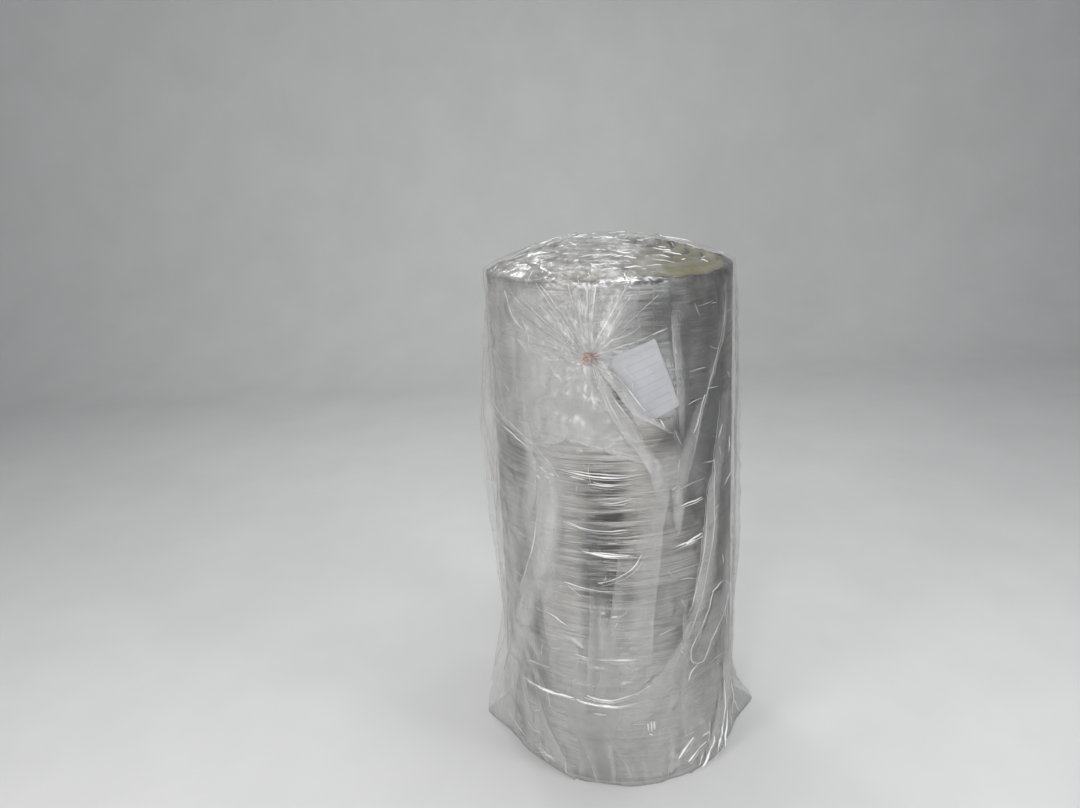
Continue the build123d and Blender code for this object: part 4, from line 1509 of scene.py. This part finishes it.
# %% The gathered neck
NECK_WAY = np.array([math.sin(KNOT_TURN), -math.cos(KNOT_TURN), 0.0])    # the way the neck points
NECK_SIDE = np.array([math.cos(KNOT_TURN), math.sin(KNOT_TURN), 0.0])
UP = np.array([0, 0, 1])
NECK_ROOT = FILM_RADIUS + 0.003    # where it leaves the bag's wall, from the roll's axis
SMALL_PLEATS = 29         # finer pleats on top of the neck's main ones
LAST_LYING, FIRST_FREE, FIRST_RAGGED = 3, 8, 11    # stations that lie on the drum, stand free, are ragged
NECK_BACK = [(0.0006, 0.0200), (0.0030, 0.0060), (0.020, 0.0010), (0.046, -0.0030)]    # radius, distance out
NECK_STATIONS = [    # ring's radius, distance out from the bag's skin, depth of its pleats
    (0.048, -0.0018, 0.0016), (0.042, 0.0002, 0.0026), (0.034, 0.0016, 0.0034), (0.026, 0.0036, 0.0036),
    (0.019, 0.0062, 0.0030), (0.0135, 0.0090, 0.0022), (0.0098, 0.0110, 0.0015), (0.0076, 0.0125, 0.0010),
    (0.0068, 0.0138, 0.0008), (0.0068, 0.0156, 0.0010), (0.0070, 0.0176, 0.0016), (0.0074, 0.0196, 0.0022),
    (0.0078, 0.0214, 0.0026), (0.0096, 0.0245, 0.0036), (0.0104, 0.0266, 0.0042), (0.0070, 0.0262, 0.0030),
    (0.0036, 0.0246, 0.0012), (0.0010, 0.0236, 0.0002),
]


def neck_ring(away, across, up):
    """Points at distances from the roll's axis, to the side of the neck and above the knot."""
    ring = away[:, None] * NECK_WAY + across[:, None] * NECK_SIDE
    ring[:, 2] = KNOT_HEIGHT + up
    return ring


def drum_fall(across):
    """How far the drum's surface falls back beside the neck."""
    return FILM_RADIUS - np.sqrt(np.maximum(FILM_RADIUS ** 2 - across ** 2, 0))


def make_neck(columns=132, pleats=17):
    around = np.arange(columns) / columns * math.tau
    circle = np.stack([np.cos(around), np.sin(around), 0 * around], axis=1)
    uneven = rumple(circle, 0.45, 41)
    rows, milk, blush = [], [], []
    for place, (radius, out, pleat) in enumerate(NECK_STATIONS):
        wave = np.cos(pleats * around + 2.2 * uneven + 0.05 * place)
        wave = wave + 0.4 * np.cos(SMALL_PLEATS * around + 3 * uneven)
        free = place >= FIRST_FREE
        spread = radius * (1 + 0.10 * uneven) + (0.35 * pleat * wave if free else 0)
        across = spread * circle[:, 0]
        ragged = 0.003 * uneven if place >= FIRST_RAGGED else 0 * uneven
        lift = out + (ragged if free else 0.5 * pleat * wave)
        fall = drum_fall(across) * (1 if place <= LAST_LYING else smooth_step(0.006, 0.0, out))
        rows.append(neck_ring(NECK_ROOT + lift - fall, across, spread * circle[:, 1]))
        milk.append(0.45 + 0.35 * (wave > 0.2) * np.ones(columns))
        blush.append((0.55 + 0.35 * uneven) * math.exp(-((radius - 0.012) / 0.009) ** 2))
    for radius, out in NECK_BACK:
        across = radius * circle[:, 0]
        rows.append(neck_ring(FILM_RADIUS + 0.0024 + out - drum_fall(across), across, radius * circle[:, 1]))
        milk.append(np.full(columns, 0.6))
        blush.append(np.zeros(columns))
    piece = mesh_piece("film_neck", np.concatenate(rows), tyre_faces(len(rows), columns), [film])
    store(piece, "milk", np.concatenate(milk))
    store(piece, "blush", np.concatenate(blush))
    return piece


neck = make_neck()
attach(neck, "root")
print("neck:", len(neck.data.polygons), "faces")


# %% [markdown]
# The neck is held by a few turns of pinkish brown string, pulled tight and knotted, with two short
# ends. A string is a round tube swept along a path, and its twist comes from slanting noise.

# %% The string
def string_finish():
    material, tree, surface = new_material("tie_string")
    place = add(tree, "TexCoord").outputs["Object"]
    twist = add(tree, "TexWave", {"wave_type": "BANDS", "bands_direction": "DIAGONAL"}, Vector=place,
                Scale=260.0, Distortion=1.5, Detail=2.0).outputs["Fac"]
    shade = weighted(tree, (twist, 0.6), (cloudy(tree, stretched(tree), 900, 3), 0.4))
    colour = ramp(tree, shade, [(0.2, (0.22, 0.13, 0.11)), (0.55, (0.44, 0.29, 0.25)),
                                (0.85, (0.60, 0.45, 0.41))])
    fill(tree, surface, Base_Color=colour, Roughness=0.75, Normal=relief(tree, shade, 0.0006))
    return material


def tube(path, radius, sides=10):
    """Points and faces of a closed round tube along a path."""
    path = np.array(path)
    along = np.gradient(path, axis=0)
    along /= np.linalg.norm(along, axis=1, keepdims=True)
    first_side = np.cross(along, NECK_WAY + np.array([0.01, 0.02, 0.03]))    # never along the path itself
    first_side /= np.linalg.norm(first_side, axis=1, keepdims=True)
    second_side = np.cross(along, first_side)
    around = np.arange(sides) / sides * math.tau
    cosine, sine = np.cos(around)[:, None], np.sin(around)[:, None]
    rings = [spot + radius * (cosine * one + sine * other)
             for spot, one, other in zip(path, first_side, second_side)]
    points = np.concatenate(rings + [path[:1], path[-1:]])
    return points, balloon_faces(len(path), sides)


STRING_RADIUS, STRING_WRAPS, WRAP_PITCH = 0.0016, 4, 0.0022
HOLD_RADIUS = 0.0087    # of the string's middle, round the neck
WRAPS_START, WRAPS_FROM = 0.6, 0.0112    # angle of the first wrap, and its distance out
KNOT_OUT = 0.0145
FRONT_LOOPS = [(0.5, 0.0088), (2.3, 0.0078)]    # lean and size of the two loops over the neck's tail
STRING_ENDS = [(-0.9, 0.020), (-1.7, 0.015)]    # lean and length


def about_neck(angle):
    """The way from the neck's middle at an angle round it."""
    return math.cos(angle) * NECK_SIDE + math.sin(angle) * UP


def make_string():
    centre = NECK_ROOT * NECK_WAY + KNOT_HEIGHT * UP
    wraps = []
    for angle in np.linspace(0, STRING_WRAPS * math.tau, 110):
        out = WRAPS_FROM + WRAP_PITCH * angle / math.tau - 0.0004
        wraps.append(centre + HOLD_RADIUS * about_neck(angle + WRAPS_START) + out * NECK_WAY)
    knot_at = centre + HOLD_RADIUS * about_neck(WRAPS_START) + KNOT_OUT * NECK_WAY
    knot = [knot_at + 0.0030 * (math.cos(a) * NECK_SIDE + math.sin(a) * NECK_WAY)
            + 0.0022 * math.sin(2 * a) * UP for a in np.linspace(0, math.tau, 30)[:-1]]
    lines = [wraps, knot]
    for lean, size in FRONT_LOOPS:
        lines.append([centre + size * math.cos(a) * about_neck(lean)
                      + (0.0190 + 0.0085 * math.sin(a)) * NECK_WAY
                      for a in np.linspace(-0.35, math.pi + 0.35, 24)])
    for lean, length in STRING_ENDS:
        lines.append([knot_at + share * length * about_neck(lean)
                      + (0.0035 * math.sin(math.pi * share) + 0.001) * NECK_WAY
                      for share in np.linspace(0, 1, 9)])
    points, faces = joined([tube(line, STRING_RADIUS) for line in lines])
    return mesh_piece("neck_string", points, faces, [string_finish()])


string = make_string()
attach(string, "root")
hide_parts("bag_tie")
print("string:", len(string.data.polygons), "faces")


# %% [markdown]
# A paper tag is pushed in under the film. It bends with the drum and lies between the foil and the film.
# It is a grid with two sides and rounded corners, and it cockles a little. It stays bare apart from
# faint ruled lines, as on any blank form.

# %% The tag
TAG_WIDTH, TAG_LENGTH, TAG_CORNER = 0.105, 0.165, 0.006
TAG_TURN, TAG_HEIGHT, TAG_TILT = math.radians(9.5), ROLL_RIM - 0.215, math.radians(20)
TAG_SIDES = (0.0011, 0.0007)    # how far its outer and inner sides stand off the foil


def tag_finish():
    material, tree, surface = new_material("tag_paper")
    pulp = cloudy(tree, stretched(tree), 240, 4)
    stain = cloudy(tree, stretched(tree), 22, 3)
    shade = weighted(tree, (pulp, 0.4), (stain, 0.6))
    paper = ramp(tree, shade, [(0.3, (0.38, 0.38, 0.41)), (0.7, (0.48, 0.48, 0.51))])
    inked = mixed_colours(tree, stored(tree, "rule"), paper, (0.30, 0.30, 0.34, 1))
    fill(tree, surface, Base_Color=inked, Roughness=0.7, Normal=relief(tree, pulp, 0.0002, 0.5))
    return material


def rounded_tag(columns, rows):
    """The flat tag's points, across and along it, with those past a corner's arc drawn in to it."""
    flat_across, flat_along = np.meshgrid(np.linspace(-0.5, 0.5, columns) * TAG_WIDTH,
                                          np.linspace(-0.5, 0.5, rows) * TAG_LENGTH)
    past_x = np.maximum(np.abs(flat_across) - (TAG_WIDTH / 2 - TAG_CORNER), 0)
    past_y = np.maximum(np.abs(flat_along) - (TAG_LENGTH / 2 - TAG_CORNER), 0)
    over = np.maximum(np.hypot(past_x, past_y), 1e-9)
    pull = np.where((past_x > 0) & (past_y > 0), np.minimum(1, TAG_CORNER / over), 1)
    return (np.sign(flat_across) * (np.abs(flat_across) - past_x * (1 - pull)),
            np.sign(flat_along) * (np.abs(flat_along) - past_y * (1 - pull)))


def make_tag(columns=37, rows=73):
    flat_across, flat_along = rounded_tag(columns, rows)
    round_run = flat_across * math.cos(TAG_TILT) - flat_along * math.sin(TAG_TILT)
    height = TAG_HEIGHT + flat_across * math.sin(TAG_TILT) + flat_along * math.cos(TAG_TILT)
    turn = TAG_TURN + round_run / ROLL_RADIUS
    cockle = 0.0003 * rumple(np.stack([round_run, height, 0 * height], axis=-1).reshape(-1, 3), 0.03, 51)
    skins = [drum(turn, ROLL_RADIUS + lift + cockle.reshape(turn.shape), height).reshape(-1, 3)
             for lift in TAG_SIDES]
    piece = mesh_piece("paper_sheet", np.concatenate(skins), sheet_faces(rows, columns), [tag_finish()])
    ruled = np.zeros_like(flat_along)
    ruled[10:-5:8, 4:-4] = 0.5    # faint lines, every eighth row
    store(piece, "rule", np.tile(ruled.reshape(-1), 2))
    return piece


tag = make_tag()
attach(tag, "root")
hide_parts("paper_tag")
print("tag:", len(tag.data.polygons), "faces")


# %% [markdown]
# The studio is plain: a pale sweep that is floor and backdrop in one, so there is no horizon line, and
# soft large lamps. Foil shows only what stands round it, so the lamps are tall and placed to leave
# darker gaps between their reflections.

# %% Studio
bpy.context.scene.cycles.transparent_max_bounces = 24    # film, pleats and creases lie many layers deep
SWEEP_FRONT, SWEEP_BACK, SWEEP_BEND, SWEEP_TOP, SWEEP_HALF_WIDTH = -9.0, 3.2, 1.2, 7.0, 12.0


def make_sweep():
    profile = [(SWEEP_FRONT, 0.0), (SWEEP_BACK, 0.0)]
    profile += [(SWEEP_BACK + SWEEP_BEND * math.sin(a), SWEEP_BEND - SWEEP_BEND * math.cos(a))
                for a in np.linspace(0.1, math.pi / 2, 14)]
    profile += [(SWEEP_BACK + SWEEP_BEND, SWEEP_TOP)]
    points = [(side * SWEEP_HALF_WIDTH, y, z) for y, z in profile for side in (-1, 1)]
    faces = [(2 * k, 2 * k + 1, 2 * k + 3, 2 * k + 2) for k in range(len(profile) - 1)]
    material, tree, surface = new_material("pale_sweep")
    grain = cloudy(tree, stretched(tree), 3.0, 3)
    grey = ramp(tree, grain, [(0.3, (0.66, 0.66, 0.66)), (0.7, (0.70, 0.70, 0.70))])
    fill(tree, surface, Base_Color=grey, Roughness=0.8)
    sweep = mesh_piece("pale_sweep", points, faces, [material])
    return sweep


def soft_lamp(name, place, aim_height, width, height, watts, tint=(1, 1, 1)):
    """A lamp that faces the roll's axis at a height."""
    light = bpy.data.lights.new(name, "AREA")
    light.shape, light.size, light.size_y = "RECTANGLE", width, height
    light.energy, light.color = watts, tint
    lamp = bpy.data.objects.new(name, light)
    lamp.location = place
    ahead = Vector((0, 0, aim_height)) - Vector(place)
    lamp.rotation_euler = ahead.to_track_quat("-Z", "Y").to_euler()
    bpy.context.scene.collection.objects.link(lamp)
    return lamp


make_sweep()
soft_lamp("overhead", (0.3, 0.4, 4.0), 0.6, 2.4, 1.8, 58)
soft_lamp("tall_left", (-2.6, -2.2, 1.8), 0.7, 0.9, 2.6, 35, (1, 0.99, 0.96))
soft_lamp("tall_right", (2.4, -1.6, 1.6), 0.6, 0.7, 2.4, 24)
soft_lamp("front_high", (-0.1, -3.6, 3.3), 0.7, 0.7, 0.5, 34)
soft_lamp("front_tall", (-1.05, -3.3, 1.15), 0.6, 0.5, 2.0, 40)
soft_lamp("back_high", (-1.2, 2.6, 3.4), 1.0, 0.6, 0.6, 18)
print("lamps:", len(bpy.data.lights))

world = bpy.data.worlds.new("room")
bpy.context.scene.world = world
world.use_nodes = True
room = world.node_tree.nodes["Background"]
room.inputs["Color"].default_value = (0.80, 0.82, 0.84, 1)
room.inputs["Strength"].default_value = 0.29


# %% [markdown]
# The camera stands where the photo's did. It was found by fitting the outline of a 1.2 metre drum: just
# above the roll's top and a little left of it, looking 14 degrees down, with a slight roll to one side.
# A small shift brings the whole foot into the frame.

# %% Camera
CAMERA_PLACE = Vector((-0.172, -1.940, 1.467))
CAMERA_DOWN, CAMERA_ROLL = math.radians(14.0), math.radians(-2.81)
IMAGE_WIDTH, FOCAL_PIXELS, RAISED_PIXELS = 1080, 820, 47


def make_camera():
    ahead = Vector((0, math.cos(CAMERA_DOWN), -math.sin(CAMERA_DOWN)))
    level, upright = Vector((1, 0, 0)), Vector((0, math.sin(CAMERA_DOWN), math.cos(CAMERA_DOWN)))
    right = level * math.cos(CAMERA_ROLL) + upright * math.sin(CAMERA_ROLL)
    up = upright * math.cos(CAMERA_ROLL) - level * math.sin(CAMERA_ROLL)
    data = bpy.data.cameras.new("photo_camera")
    data.sensor_width = 36.0
    data.lens = FOCAL_PIXELS / IMAGE_WIDTH * data.sensor_width
    data.shift_y = -RAISED_PIXELS / IMAGE_WIDTH
    camera = bpy.data.objects.new("photo_camera", data)
    camera.matrix_world = Matrix.Translation(CAMERA_PLACE) @ Matrix((right, up, -ahead)).transposed().to_4x4()
    bpy.context.scene.collection.objects.link(camera)
    bpy.context.scene.camera = camera
    print(f"lens {data.lens:.2f} mm, shift {data.shift_y:.4f}")


make_camera()
bpy.context.scene.view_settings.view_transform = "Standard"
